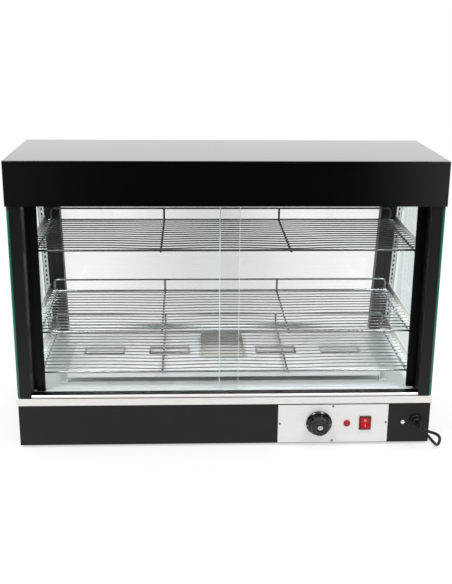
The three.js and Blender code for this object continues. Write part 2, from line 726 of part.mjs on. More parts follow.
function cordCoil() {
  const { x, y, inner, outer, low, high } = COIL;
  const chamfer = 2;
  const profile = [
    [inner, low + chamfer], [inner + chamfer, low], [outer - chamfer, low], [outer, low + chamfer],
    [outer, high - chamfer], [outer - chamfer, high], [inner + chamfer, high], [inner, high - chamfer],
    [inner, low + chamfer],
  ];
  return new THREE.LatheGeometry(profile.map(([r, z]) => new THREE.Vector2(r, z)), 28)
    .rotateX(Math.PI / 2).translate(x, y, 0);
}

// A band round the coil's turns.
function cordTie() {
  const { x, y, inner, outer, low, high } = COIL;
  const [wide, thick] = [5, 0.6];
  const band = (grow) => box(x - outer - grow, x - inner + grow, y - wide / 2 - 0.1, y + wide / 2 + 0.1,
    low - grow, high + grow);
  return cut(band(GAP + thick), band(GAP).scale(1, 3, 1).translate(0, -2 * y, 0));
}

function plug() {
  const { tip, back, y, z, height, width } = PLUG;
  const face = tip + 20;
  const body = new THREE.Shape();
  body.moveTo(face, y - width / 2).lineTo(face + 16, y - width / 2);
  body.lineTo(back - 8, y - 7).lineTo(back, y - 5.5).lineTo(back, y + 5.5).lineTo(back - 8, y + 7);
  body.lineTo(face + 16, y + width / 2).lineTo(face, y + width / 2).closePath();
  const pins = [
    box(tip, face + 2, y - 7.1, y - 5.6, z - 6.3, z), box(tip, face + 2, y + 5.6, y + 7.1, z - 6.3, z),
    box(tip - 1.5, face + 2, y - 2.3, y + 2.3, z + 1.6, z + 6.2),
  ];
  return join(raised(body, z - height / 2, z + height / 2), ...pins);
}

// Assembly

add('base_shell', baseShell(), 'base_black');
add('base_bottom_cover', bottomCover(), 'base_black');
for (const [name, x, y] of [
  ['foot_front_left', -FOOT.x, FOOT.front], ['foot_front_right', FOOT.x, FOOT.front],
  ['foot_rear_left', -FOOT.x, FOOT.rear], ['foot_rear_right', FOOT.x, FOOT.rear],
]) add(name, foot(x, y), 'rubber');
add('base_trim_frame', trimFrame(), 'stainless');
add('floor_pan', floorPan(), 'stainless');
add('door_sill', sill(), 'stainless');
add('door_track_lower', lowerTrack(), 'stainless');
add('door_track_upper', upperTrack(), 'satin_black');
add('canopy_shell', canopyShell(), 'gloss_black');
add('canopy_ceiling_pan', ceilingPan(), 'stainless');
add('rear_glass', rearGlass(), 'glass');

for (const [hand, side] of [['left', -1], ['right', 1]]) {
  add(`side_glass_${hand}`, sideGlass(side), 'glass');
  add(`front_post_${hand}`, frontPost(side), 'satin_black');
  add(`rear_post_${hand}`, rearPost(side), 'satin_black');
  add(`front_pilaster_${hand}`, frontPilaster(side), 'stainless');
  add(`rear_pilaster_${hand}`, rearPilaster(side), 'stainless');
  add(`heating_element_${hand}`, heatingElement(side), 'element_steel');
  for (const [shelfName, z] of Object.entries(SHELF_HEIGHTS)) {
    add(`${shelfName}_bracket_${hand}`, shelfBracket(side, z), 'stainless');
  }
}

for (const [shelfName, z] of Object.entries(SHELF_HEIGHTS)) {
  add(shelfName, shelf(SHELF_DEPTHS[shelfName]), 'chrome').position.z = z;
}

add('door_glass_left', doorGlass(LEFT_DOOR, -1), 'glass');
add('door_edge_left', doorEdge(LEFT_DOOR, -1), 'satin_black');
add('door_glass_right', doorGlass(RIGHT_DOOR, 1), 'glass');
add('door_edge_right', doorEdge(RIGHT_DOOR, 1), 'satin_black');

add('heat_plate', heatPlate(), 'stainless');
add('water_pan', waterPan(), 'stainless');

add('control_panel', controlPanel(), 'stainless');
PANEL_SCREWS.forEach((place, i) => add(`panel_screw_${i + 1}`, panelScrew(place), 'element_steel'));
add('thermostat', thermostat(), 'element_steel');
add('thermostat_knob', thermostatKnob(), 'knob_black');
add('knob_insert', knobInsert(), 'chrome');
add('pilot_lamp', pilotLamp(), 'red');
add('switch_housing', switchHousing(), 'knob_black');
add('switch_rocker', switchRocker(), 'red');
add('earth_screw', earthScrew(), 'chrome');
add('cable_gland', cableGland(), 'knob_black');
add('terminal_block', terminalBlock(), 'rubber');
add('power_cord', powerCord(), 'rubber');
add('cord_coil', cordCoil(), 'rubber');
add('cord_tail', cordTail(), 'rubber');
add('cord_tie', cordTie(), 'rubber');
add('plug', plug(), 'rubber');

const displayCase = new THREE.Group();
displayCase.add(machine);

export default displayCase;
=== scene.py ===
"""Looks of the counter-top hot food display case: camera, cord, light, materials and fine pieces.

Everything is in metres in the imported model's frame: x along the case, y from the doors towards the
customer side, z up from the surface that the feet stand on.
"""
import json
import math

import bmesh
import bpy
from mathutils import Matrix, Vector

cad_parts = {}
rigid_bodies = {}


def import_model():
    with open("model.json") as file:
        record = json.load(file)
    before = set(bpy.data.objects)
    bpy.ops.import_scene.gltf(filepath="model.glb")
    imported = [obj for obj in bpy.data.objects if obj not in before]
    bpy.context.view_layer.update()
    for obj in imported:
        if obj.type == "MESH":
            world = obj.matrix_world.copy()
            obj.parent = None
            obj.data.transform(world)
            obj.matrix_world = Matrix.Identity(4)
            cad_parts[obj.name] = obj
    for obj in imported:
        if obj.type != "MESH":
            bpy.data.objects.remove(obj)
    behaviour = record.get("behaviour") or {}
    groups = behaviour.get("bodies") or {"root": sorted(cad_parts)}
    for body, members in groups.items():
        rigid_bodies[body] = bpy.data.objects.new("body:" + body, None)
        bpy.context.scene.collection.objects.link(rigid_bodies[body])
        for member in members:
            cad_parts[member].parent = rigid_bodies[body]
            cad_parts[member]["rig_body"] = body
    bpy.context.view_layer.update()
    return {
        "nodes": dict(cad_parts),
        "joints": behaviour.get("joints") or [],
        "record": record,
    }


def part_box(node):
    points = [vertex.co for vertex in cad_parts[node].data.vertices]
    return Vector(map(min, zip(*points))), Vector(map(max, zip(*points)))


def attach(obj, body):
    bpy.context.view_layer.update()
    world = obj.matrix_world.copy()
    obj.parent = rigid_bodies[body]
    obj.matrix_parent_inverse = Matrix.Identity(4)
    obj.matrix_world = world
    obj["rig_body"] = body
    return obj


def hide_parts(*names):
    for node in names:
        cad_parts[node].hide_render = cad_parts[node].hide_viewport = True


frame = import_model()
SCENE = bpy.context.scene
SLOT_OF = {part["node"]: part["material_slot"] for part in frame["record"]["subparts"]}
MM = 0.001
HANDS = ("left", "right")
SHELVES = ("shelf_top", "shelf_middle", "shelf_bottom")


# ---------------------------------------------------------------- camera

CAMERA_PLACE = (-0.078, -2.0832, 0.931)
CAMERA_YAW, CAMERA_PITCH, CAMERA_ROLL = -2.33, 17.24, -0.48
CAMERA_LENS = 57.56


def add_camera():
    data = bpy.data.cameras.new("camera")
    data.lens = CAMERA_LENS
    data.clip_start = 0.05
    camera = bpy.data.objects.new("camera", data)
    turn = (
        Matrix.Rotation(math.radians(CAMERA_YAW), 4, "Z")
        @ Matrix.Rotation(math.radians(-CAMERA_PITCH), 4, "X")
        @ Matrix.Rotation(math.radians(CAMERA_ROLL), 4, "Y")
        @ Matrix.Rotation(math.radians(90), 4, "X")
    )
    camera.matrix_world = Matrix.Translation(CAMERA_PLACE) @ turn
    SCENE.collection.objects.link(camera)
    SCENE.camera = camera


add_camera()


# ---------------------------------------------------------------- materials


class Finish:
    """A procedural material being built: its Principled shader, and short calls that add nodes."""

    def __init__(self, name, color=(0.5, 0.5, 0.5), roughness=0.5, metallic=0.0):
        self.material = bpy.data.materials.new(name)
        self.material.use_nodes = True
        self.tree = self.material.node_tree
        self.shader = self.tree.nodes["Principled BSDF"]
        self.set(**{"Base Color": (*color, 1), "Roughness": roughness, "Metallic": metallic})

    def set(self, **values):
        for socket, value in values.items():
            self.shader.inputs[socket].default_value = value

    def node(self, kind, inputs=None, **settings):
        made = self.tree.nodes.new("ShaderNode" + kind)
        for key, value in settings.items():
            setattr(made, key, value)
        for key, value in (inputs or {}).items():
            if isinstance(value, bpy.types.NodeSocket):
                self.tree.links.new(value, made.inputs[key])
            else:
                made.inputs[key].default_value = value
        return made

    def place(self, stretch=(1, 1, 1)):
        """Object coordinates in metres, stretched along each axis."""
        where = self.node("TexCoord").outputs["Object"]
        return self.node("Mapping", {"Vector": where, "Scale": stretch}).outputs[0]

    def noise(self, scale, detail=3.0, stretch=(1, 1, 1), roughness=0.55):
        return self.node("TexNoise", {
            "Vector": self.place(stretch), "Scale": scale, "Detail": detail, "Roughness": roughness,
        }).outputs[0]

    def ranged(self, value, low, high, source=(0.3, 0.7), **settings):
        return self.node("MapRange", {
            "Value": value, "From Min": source[0], "From Max": source[1], "To Min": low, "To Max": high,
        }, **settings).outputs[0]

    def eased(self, value, low, high, source):
        """As ranged, with a soft start and a soft end."""
        return self.ranged(value, low, high, source, interpolation_type="SMOOTHSTEP")

    def arithmetic(self, operation, a, b=0.0):
        return self.node("Math", {0: a, 1: b}, operation=operation).outputs[0]

    def mixed(self, factor, a, b):
        return self.node("MixRGB", {"Fac": factor, "Color1": (*a, 1), "Color2": (*b, 1)}).outputs[0]

    def vary_color(self, factor, a, b):
        self.tree.links.new(self.mixed(factor, a, b), self.shader.inputs["Base Color"])

    def vary_roughness(self, value, low, high):
        self.tree.links.new(self.ranged(value, low, high), self.shader.inputs["Roughness"])

    def bump(self, height, distance, strength=1.0):
        made = self.node("Bump", {"Height": height, "Distance": distance, "Strength": strength})
        self.tree.links.new(made.outputs[0], self.shader.inputs["Normal"])


def shaded(color, factor):
    return tuple(channel * factor for channel in color)


def powder_coat(name, color, roughness, grain=900, depth=0.00006, specular=0.3):
    """Black powder coat: a fine orange-peel grain, with slow changes of tone and a little dust."""
    finish = Finish(name, color, roughness)
    finish.set(**{"Specular IOR Level": specular})
    finish.vary_color(finish.noise(5.0, 4.0), shaded(color, 0.82), shaded(color, 1.2))
    finish.vary_roughness(finish.noise(22.0, 5.0), roughness - 0.06, roughness + 0.08)
    finish.bump(finish.noise(grain, 2.0), depth, 0.6)
    return finish.material


def gloss_coat(name, color, roughness):
    """Smooth stoved paint with a faint ripple and slightly duller patches."""
    finish = Finish(name, color, roughness)
    finish.set(IOR=1.5)
    finish.vary_color(finish.noise(3.0, 3.0), shaded(color, 0.8), shaded(color, 1.25))
    finish.vary_roughness(finish.noise(9.0, 5.0), roughness - 0.02, roughness + 0.04)
    finish.bump(finish.noise(60.0, 2.0), 0.00002, 0.3)
    return finish.material


def brushed(name, color, roughness, metallic, depth=0.00004):
    """Rolled and brushed stainless steel: long fine scratches along x."""
    stretch = (1, 45, 45)
    finish = Finish(name, color, roughness, metallic)
    streaks = finish.noise(14.0, 6.0, stretch, 0.7)
    finish.vary_roughness(streaks, roughness - 0.06, roughness + 0.1)
    finish.vary_color(finish.noise(6.0, 6.0, stretch), shaded(color, 0.93), shaded(color, 1.04))
    finish.bump(streaks, depth, 0.5)
    return finish.material


def satin_steel(name, color, roughness, metallic=0.9):
    """Mill-finished sheet: cloudy, with soft wear and faint spots."""
    finish = Finish(name, color, roughness, metallic)
    clouds = finish.noise(11.0, 6.0)
    finish.vary_color(clouds, shaded(color, 0.9), shaded(color, 1.05))
    finish.vary_roughness(finish.noise(40.0, 4.0), roughness - 0.05, roughness + 0.08)
    finish.bump(finish.noise(260.0, 4.0), 0.00003, 0.4)
    return finish.material


def chrome(name, color, roughness, coarse=8.0):
    """Bright plating with slightly dull patches."""
    finish = Finish(name, color, roughness, 1.0)
    finish.vary_roughness(finish.noise(coarse, 4.0), roughness - 0.03, roughness + 0.08)
    finish.vary_color(finish.noise(coarse / 2, 3.0), shaded(color, 0.85), shaded(color, 1.1))
    return finish.material


def plastic(name, color, roughness, grain=700, depth=0.00003, specular=0.5):
    """Moulded plastic or rubber with a fine grain."""
    finish = Finish(name, color, roughness)
    finish.set(**{"Specular IOR Level": specular})
    finish.vary_color(finish.noise(50.0, 3.0), shaded(color, 0.85), shaded(color, 1.15))
    finish.vary_roughness(finish.noise(120.0, 3.0), roughness - 0.04, roughness + 0.06)
    finish.bump(finish.noise(grain, 2.0), depth, 0.5)
    return finish.material


def lit_plastic(name, color, roughness, glow):
    """Coloured translucent plastic with a faint painted glow, an emission that stands in for light held in
    the plastic.
    """
    finish = Finish(name, color, roughness)
    # the emission is a painted glow
    finish.set(**{"Emission Color": (*color, 1), "Emission Strength": glow, "Specular IOR Level": 0.3})
    finish.vary_color(finish.noise(130.0, 3.0), shaded(color, 0.8), shaded(color, 1.15))
    finish.vary_roughness(finish.noise(90.0, 3.0), roughness - 0.05, roughness + 0.08)
    finish.bump(finish.noise(300.0, 2.0), 0.00003, 0.4)
    return finish.material


def pane_glass(name, tint, gloss=1.0):
    """Thin clear glass: tinted see-through, with a mirror layer that grows towards grazing angles.

    gloss scales that layer, which only the outward side of each face has.
    """
    finish = Finish(name)
    tree = finish.tree
    tree.nodes.remove(finish.shader)
    streaks = finish.noise(4.0, 3.0, (1, 1, 0.4))
    clear = finish.node("BsdfTransparent", {"Color": finish.mixed(streaks, tint, shaded(tint, 0.97))})
    mirror = finish.node("BsdfGlossy", {
        "Color": (1, 1, 1, 1), "Roughness": finish.ranged(finish.noise(7.0, 4.0), 0.0, 0.01)})
    fresnel = finish.node("Fresnel", {"IOR": 1.45}).outputs[0]
    inside = finish.node("NewGeometry").outputs["Backfacing"]
    outside = finish.ranged(inside, gloss, 0.0, (0.0, 1.0))
    share = finish.arithmetic("MULTIPLY", fresnel, outside)
    blend = finish.node("MixShader", {0: share, 1: clear.outputs[0], 2: mirror.outputs[0]})
    tree.links.new(blend.outputs[0], tree.nodes["Material Output"].inputs["Surface"])
    return finish.material


def edge_glass(name, color, glow):
    """The polished edge of a pane, where the glass shows its own colour, with a painted glow from its
    emission.
    """
    finish = Finish(name, color, 0.18)
    # the emission is a painted glow
    finish.set(**{"Emission Color": (*color, 1), "Emission Strength": glow})
    finish.vary_color(finish.noise(30.0, 4.0), shaded(color, 0.75), shaded(color, 1.25))
    finish.vary_roughness(finish.noise(300.0, 3.0), 0.1, 0.3)
    return finish.material


FINISHES = {
    "base_black_paint": powder_coat("base_black_paint", (0.0065, 0.0068, 0.0063), 0.5),
    "rubber_feet": plastic("rubber_feet", (0.02, 0.02, 0.02), 0.8),
    "stainless_trim": brushed("stainless_trim", (0.8, 0.778, 0.765), 0.3, 0.5),
    "stainless_interior": satin_steel("stainless_interior", (0.9, 0.93, 0.95), 0.36, 0.06),
    "stainless_pan": satin_steel("stainless_pan", (0.66, 0.64, 0.6), 0.45, 0.35),
    "stainless_panel": brushed("stainless_panel", (0.81, 0.805, 0.797), 0.38, 0.5),
    "black_aluminium": powder_coat("black_aluminium", (0.0031, 0.0032, 0.0025), 0.42, 1400, 0.00003),
    "canopy_gloss_black": gloss_coat("canopy_gloss_black", (0.0012, 0.0016, 0.0014), 0.09),
    "door_edge_black": powder_coat("door_edge_black", (0.002, 0.0022, 0.002), 0.35, specular=0.12),
    "pilaster_steel": satin_steel("pilaster_steel", (0.78, 0.78, 0.75), 0.3),
    "chrome_wire": chrome("chrome_wire", (0.35, 0.36, 0.365), 0.2),
    "element_sheath": satin_steel("element_sheath", (0.24, 0.23, 0.22), 0.5),
    "small_screws": satin_steel("small_screws", (0.22, 0.21, 0.21), 0.4),
    "thermostat_steel": satin_steel("thermostat_steel", (0.5, 0.5, 0.48), 0.4),
    "black_knob": plastic("black_knob", (0.003, 0.003, 0.0035), 0.16),
    "chrome_insert": chrome("chrome_insert", (0.62, 0.62, 0.64), 0.2, 60.0),
    "red_lens": lit_plastic("red_lens", (0.34, 0.022, 0.022), 0.2, 0.05),
    "switch_black": plastic("switch_black", (0.004, 0.004, 0.004), 0.3),
    "rocker_red": lit_plastic("rocker_red", (0.42, 0.002, 0.005), 0.3, 0.1),
    "earth_screw_steel": satin_steel("earth_screw_steel", (0.9, 0.9, 0.9), 0.25, 0.6),
    "gland_black": plastic("gland_black", (0.003, 0.003, 0.003), 0.3, specular=0.25),
    "terminal_white": plastic("terminal_white", (0.7, 0.69, 0.65), 0.5),
    "cord_black": plastic("cord_black", (0.003, 0.003, 0.003), 0.42, specular=0.2),
    "tie_black": plastic("tie_black", (0.03, 0.03, 0.03), 0.5),
    "plug_black": plastic("plug_black", (0.014, 0.014, 0.014), 0.35),
}
DOOR_TINT = (0.978, 0.983, 0.981)
WALL_TINT = (0.982, 0.987, 0.986)
SIDE_TINT = (0.9, 0.935, 0.94)
DOOR_GLASS = pane_glass("door_glass", DOOR_TINT, 0.6)
WALL_GLASS = pane_glass("wall_glass", WALL_TINT)
SIDE_GLASS = pane_glass("side_glass", SIDE_TINT, 0.35)
# the teal is the glass's own colour; its small glow is painted light
WALL_EDGE = edge_glass("wall_glass_edge", (0.012, 0.16, 0.105), 0.1)
# the door panes' edges: their pale colour and glow are a painted highlight
DOOR_EDGE_PAINTED_HIGHLIGHT = edge_glass("door_glass_edge_painted_highlight", (0.6, 0.7, 0.67), 0.3)
MARKS = plastic("pale_marks", (0.62, 0.55, 0.53), 0.5)
FLOOR_STEEL = satin_steel("floor_steel", (0.76, 0.785, 0.8), 0.36, 0.06)
PLATE_STEEL = satin_steel("plate_steel", (0.93, 0.95, 0.965), 0.4, 0.03)
TOP_WIRE_PAINTED_REFLECTION = chrome("top_wire_painted_reflection", (0.12, 0.125, 0.13), 0.2)   # a darker copy of the chrome for the top shelf: painted reflection of the dark hood
PIN_METAL = satin_steel("pin_metal", (0.72, 0.68, 0.55), 0.25, 1.0)


# ---------------------------------------------------------------- making pieces


def body_of(node):
    return frame["nodes"][node]["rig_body"]


def piece(name, mesh, nodes, materials=None, body=None, slot=None, replaces=True):
    """Links a mesh as a piece that rides with its first CAD node and stands for all of them."""
    slot = slot or SLOT_OF[nodes[0]]
    made = bpy.data.objects.new(name, mesh)
    for material in materials or [FINISHES[slot]]:
        mesh.materials.append(material)
    SCENE.collection.objects.link(made)
    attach(made, body or body_of(nodes[0]))
    if replaces:
        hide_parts(*nodes)
    return made


def finished(bm, name, smooth_below=40):
    """A mesh from bm, shaded smooth except over edges sharper than an angle."""
    bmesh.ops.recalc_face_normals(bm, faces=bm.faces)
    for face in bm.faces:
        face.smooth = True
    mesh = bpy.data.meshes.new(name)
    bm.to_mesh(mesh)
    bm.free()
    mesh.set_sharp_from_angle(angle=math.radians(smooth_below))
    return mesh


def weighted(made):
    """Shades a bevelled piece's flat faces flat, and returns the piece."""
    made.modifiers.new("even_shading", "WEIGHTED_NORMAL").keep_sharp = True
    return made


def bevelled(bm, width, segments=2, sharper_than=25, keep=None):
    """Rounds the sharp edges of bm, apart from those that keep() picks out, and returns bm."""
    edges = [
        edge for edge in bm.edges
        if len(edge.link_faces) == 2
        and edge.calc_face_angle() > math.radians(sharper_than)
        and not (keep and keep(edge))
    ]
    bmesh.ops.bevel(bm, geom=edges, offset=width, segments=segments, affect="EDGES",
                    clamp_overlap=True, profile=0.5)
    return bm


def solid_copy(node):
    """The CAD node's surface with its flat faces whole again."""
    bm = bmesh.new()
    bm.from_mesh(frame["nodes"][node].data)
    bmesh.ops.remove_doubles(bm, verts=bm.verts, dist=0.000005)
    bmesh.ops.dissolve_limit(bm, angle_limit=math.radians(0.5), verts=bm.verts, edges=bm.edges)
    return bm


def edged(node, width):
    """A CAD node's shape with its edges rounded, as folded sheet or extruded metal has them."""
    bm = bevelled(solid_copy(node), width * MM)
    return weighted(piece(node + "_fine", finished(bm, node), [node]))


def box_mesh(bm, low, high):
    """Adds a box to bm."""
    for vertex in bmesh.ops.create_cube(bm, size=1.0)["verts"]:
        for axis in range(3):
            vertex.co[axis] = low[axis] if vertex.co[axis] < 0 else high[axis]


def rings_mesh(bm, rings):
    """Joins closed rings of points, each with the same count, into a skin open at both ends."""
    loops = [[bm.verts.new(point) for point in ring] for ring in rings]
    count = len(loops[0])
    for a, b in zip(loops, loops[1:]):
        for i in range(count):
            j = (i + 1) % count
            bm.faces.new((a[i], a[j], b[j], b[i]))
    return loops


def capped(bm, rings):
    """Joins closed rings of points into a skin, with a face over each end."""
    loops = rings_mesh(bm, rings)
    bm.faces.new(loops[0])
    bm.faces.new(loops[-1])


def circle(centre, side, up, radius, sides):
    """Points round a circle in the plane of side and up."""
    turns = (2 * math.pi * i / sides for i in range(sides))
    return [centre + (side * math.cos(turn) + up * math.sin(turn)) * radius for turn in turns]


def turned(bm, centre, profile, sides=48, radius_at=None):
    """Adds a closed solid turned about an axis along y: (radius, y) pairs in mm, from axis to axis.

    radius_at(radius, y, angle) may change the radius round the axis, as flutes do.
    """
    rings = []
    for radius, along in profile:
        ring = []
        for i in range(sides):
            angle = 2 * math.pi * i / sides
            reach = radius_at(radius, along, angle) if radius_at else radius
            x = centre[0] + reach * MM * math.cos(angle)
            z = centre[1] + reach * MM * math.sin(angle)
            ring.append(Vector((x, along * MM, z)))
        rings.append(ring)
    capped(bm, rings)


def sweep_frames(points):
    """Tangent, side and up of a path at each point, with as little twist as possible."""
    tangents = []
    for i in range(len(points)):
        before = points[max(i - 1, 0)]
        after = points[min(i + 1, len(points) - 1)]
        tangents.append((after - before).normalized())
    start = Vector((0, 0, 1)) if abs(tangents[0].z) < 0.9 else Vector((1, 0, 0))
    side = tangents[0].cross(start).normalized()
    frames = []
    for tangent in tangents:
        side = (side - tangent * side.dot(tangent)).normalized()
        frames.append((tangent, side, tangent.cross(side)))
    return frames


DOME_TURNS = (0.45, 0.9, 1.3)   # where round a rod's domed end its rings lie, in radians


def rod(bm, points, radius, sides=14, dome=True):
    """Adds a round rod along points, in metres, with domed or flat ends."""
    frames = sweep_frames(points)
    spots = [(point, axes, radius) for point, axes in zip(points, frames)]
    if dome:
        for end, sign in ((0, -1), (-1, 1)):
            point, axes = points[end], frames[end]
            outward = axes[0] * sign * radius
            caps = [
                (point + outward * (math.sin(turn) - 1), axes, radius * math.cos(turn))
                for turn in DOME_TURNS
            ]
            spots[end] = (point - outward, axes, radius)
            spots = caps[::-1] + spots if end == 0 else spots + caps
    capped(bm, [circle(point, side, up, reach, sides) for point, (_, side, up), reach in spots])


def arc_points(a, corner, b, steps=6):
    """Points of a smooth bend from a to b, drawn towards a corner."""
    made = []
    for i in range(steps + 1):
        t = i / steps
        made.append(a * (1 - t) ** 2 + corner * 2 * t * (1 - t) + b * t * t)
    return made


def rounded_path(corners, radius, steps=6):
    """A path through corners, with each inner corner rounded."""
    made = [corners[0]]
    for before, corner, after in zip(corners, corners[1:], corners[2:]):
        a = corner + (before - corner).normalized() * radius
        b = corner + (after - corner).normalized() * radius
        made += arc_points(a, corner, b, steps)
    return made + [corners[-1]]


# ---------------------------------------------------------------- supply cord

CORD_DIAMETER = 6.6
ORIGIN_Y, FOOT_HEIGHT = 228.2, 6.0
# The route's points, in mm in the frame in which the case is designed.
CORD_ROUTE = [
    (417, -10.3, 50), (417.4, -19.1, 49.9), (420, -27.1, 49.2), (425, -34, 47.9),
    (431.7, -38.9, 46.1), (439.5, -41.3, 44), (447.5, -41.5, 41.3), (454.6, -40, 37),
    (460, -37.2, 30.9), (463.1, -33.5, 23.7), (463.9, -29.3, 16.2), (463.8, -24.7, 9),
    (463.5, -18.6, 3), (462.9, -11, -0.9), (462, -2.5, -2.4), (458.6, 19, -2.4),
    (455.4, 44, -2.4), (452.9, 76, -2.4), (451.8, 120, -2.4), (452, 170, -2.4),
    (452.5, 230, -2.4), (453, 300, -2.4), (454, 380, -2.4), (456, 450, -2.4), (457, 510, -2.4),
]
COIL = {"x": 404.5, "y": 540, "outer": 52.5, "inner": 24.5, "turns": 4.25, "per_turn": 24}
COIL_LOW, COIL_TOP = -2.4, 4.3   # heights of the turns, and of the end that lies on them
TAIL_ROUTE = [
    (386.5, 566, 4.9), (368.5, 569, 4.9), (352.5, 573, 4.6), (338.5, 576.3, 3.2), (324.5, 577.8, 1.7),
    (308.4, 578, 1),
]


def placed(x, y, z):
    """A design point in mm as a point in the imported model's frame in metres."""
    return Vector((x, y - ORIGIN_Y, z + FOOT_HEIGHT)) * MM


def coil_points():
    """The coil's turns, spiralling inwards side by side. The last stretch rises onto them."""
    steps = round(COIL["turns"] * COIL["per_turn"])
    rise = COIL["per_turn"] // 4
    made = []
    for i in range(steps + 1):
        angle = 2 * math.pi * i / COIL["per_turn"]
        radius = COIL["outer"] + (COIL["inner"] - COIL["outer"]) * i / steps
        lifted = max(0.0, (i - (steps - rise)) / rise)
        height = COIL_LOW + (COIL_TOP - COIL_LOW) * lifted * lifted * (3 - 2 * lifted)
        made.append((COIL["x"] + radius * math.cos(angle), COIL["y"] + radius * math.sin(angle), height))
    return made


def add_cord():
    points = CORD_ROUTE + coil_points() + TAIL_ROUTE
    data = bpy.data.curves.new("supply_cord", "CURVE")
    data.dimensions = "3D"
    data.bevel_depth = CORD_DIAMETER / 2 * MM
    data.bevel_resolution = 6
    data.use_fill_caps = True
    spline = data.splines.new("BEZIER")
    spline.resolution_u = 5
    spline.bezier_points.add(len(points) - 1)
    for knot, point in zip(spline.bezier_points, points):
        knot.co = placed(*point)
        knot.handle_left_type = knot.handle_right_type = "AUTO"
    data.materials.append(FINISHES["cord_black"])
    made = bpy.data.objects.new("supply_cord", data)
    SCENE.collection.objects.link(made)
    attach(made, "case")
    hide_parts("power_cord", "cord_coil", "cord_tail")
    return made


BOOT_RADIUS, BOOT_TAPER, BOOT_SIDES, BOOT_STEPS = 5.4, 1.7, 20, 6


def add_strain_relief():
    """A ribbed, tapered boot that follows the first bend of the cord."""
    route = [placed(*point) for point in CORD_ROUTE[:4]]
    path = []
    for a, b in zip(route, route[1:]):
        path += [a.lerp(b, i / BOOT_STEPS) for i in range(BOOT_STEPS)]
    rings = []
    for i, (point, (_, side, up)) in enumerate(zip(path, sweep_frames(path))):
        along = i / (len(path) - 1)
        rib = 0.35 if i % 3 else -0.25
        radius = (BOOT_RADIUS - BOOT_TAPER * along + rib) * MM
        rings.append(circle(point, side, up, radius, BOOT_SIDES))
    bm = bmesh.new()
    capped(bm, rings)
    return piece("strain_relief", finished(bm, "strain_relief", 60), ["cable_gland"], replaces=False)


PLUG_FACE = 20 * MM    # how far the pins stand out of the body
PLUG_SQUARENESS = 0.45
PLUG_SECTIONS = [      # distance along the body, half width and half height, in mm
    (0, 12.2, 6.2), (1.5, 13, 7), (15, 13, 7), (20, 11.4, 6.8), (28, 8.6, 6.4), (34, 7.2, 6)]
PLUG_PINS = (          # y, z, width, height and how far the tip stands back, in mm
    (-6.4, -3, 1.5, 6.2, 1.5), (6.4, -3, 1.5, 6.2, 1.5), (0, 3.9, 4.6, 4.6, 0))
NECK_START, NECK_STEPS, NECK_RADIUS, NECK_TAPER = 33 * MM, 12, 5.6, 1.6


def squared(value):
    """A sine or cosine pushed outwards, which turns a circle into a rounded square."""
    return abs(value) ** PLUG_SQUARENESS * math.copysign(1, value)


def add_plug():
    """A moulded body, a ribbed neck and three pins."""
    low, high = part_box("plug")
    middle = (low + high) / 2
    face = low.x + PLUG_FACE
    rings = []
    for along, half, tall in PLUG_SECTIONS:
        ring = []
        for i in range(32):
            turn = 2 * math.pi * i / 32
            y = middle.y + squared(math.cos(turn)) * half * MM
            z = middle.z + squared(math.sin(turn)) * tall * MM
            ring.append(Vector((face + along * MM, y, z)))
        rings.append(ring)
    body = bmesh.new()
    capped(body, rings)
    made = piece("plug_body", finished(body, "plug_body", 50), ["plug"])

    rings = []
    start = face + NECK_START
    for i in range(NECK_STEPS + 1):
        along = i / NECK_STEPS
        rib = 0.4 if i % 2 else -0.3
        radius = NECK_RADIUS - NECK_TAPER * along + rib
        centre = Vector((start + along * (high.x - start + 3 * MM), middle.y, middle.z))
        rings.append(circle(centre, Vector((0, 1, 0)), Vector((0, 0, 1)), radius * MM, 20))
    neck = bmesh.new()
    capped(neck, rings)
    neck_piece = piece("plug_neck", finished(neck, "plug_neck", 60), ["plug"], replaces=False)

    pins = bmesh.new()
    for y, z, wide, tall, back in PLUG_PINS:
        box_mesh(pins,
                 (low.x + back * MM, middle.y + (y - wide / 2) * MM, middle.z + (z - tall / 2) * MM),
                 (face + 2 * MM, middle.y + (y + wide / 2) * MM, middle.z + (z + tall / 2) * MM))
    bevelled(pins, 0.4 * MM)
    pin_piece = piece("plug_pins", finished(pins, "plug_pins"), ["plug"], [PIN_METAL], replaces=False)
    return [made, neck_piece, pin_piece]


cord = add_cord()
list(add_plug())
add_strain_relief()
edged("cord_tie", 0.25)


# ---------------------------------------------------------------- canopy, base and frame


HOOD_FOLD, HOOD_SHEET = 2.2 * MM, 1.5 * MM


def add_canopy():
    """A folded sheet hood: the outer form with rounded folds, open below and given its thickness."""
    low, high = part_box("canopy_shell")
    points = [vertex.co for vertex in frame["nodes"]["canopy_shell"].data.vertices]
    top_back = max(p.y for p in points if p.z > high.z - 0.01 * MM)
    knee = max(p.z for p in points if p.y > high.y - 0.01 * MM)
    profile = [
        (low.y, low.z), (high.y, low.z), (high.y, knee), (top_back, high.z), (low.y, high.z)]
    bm = bmesh.new()
    rings_mesh(bm, [[Vector((x, y, z)) for y, z in profile] for x in (low.x, high.x)])
    for x in (low.x, high.x):
        bm.faces.new([v for v in bm.verts if abs(v.co.x - x) < 0.01 * MM][:5])
    bmesh.ops.recalc_face_normals(bm, faces=bm.faces)
    bevelled(bm, HOOD_FOLD, 4, keep=lambda edge: all(v.co.z < low.z + 0.01 * MM for v in edge.verts))
    under = [face for face in bm.faces if face.normal.z < -0.9]
    bmesh.ops.delete(bm, geom=under, context="FACES")
    made = piece("canopy_hood", finished(bm, "canopy_hood"), ["canopy_shell"])
    sheet = made.modifiers.new("sheet", "SOLIDIFY")
    sheet.thickness = HOOD_SHEET
    sheet.offset = -1
    weighted(made)


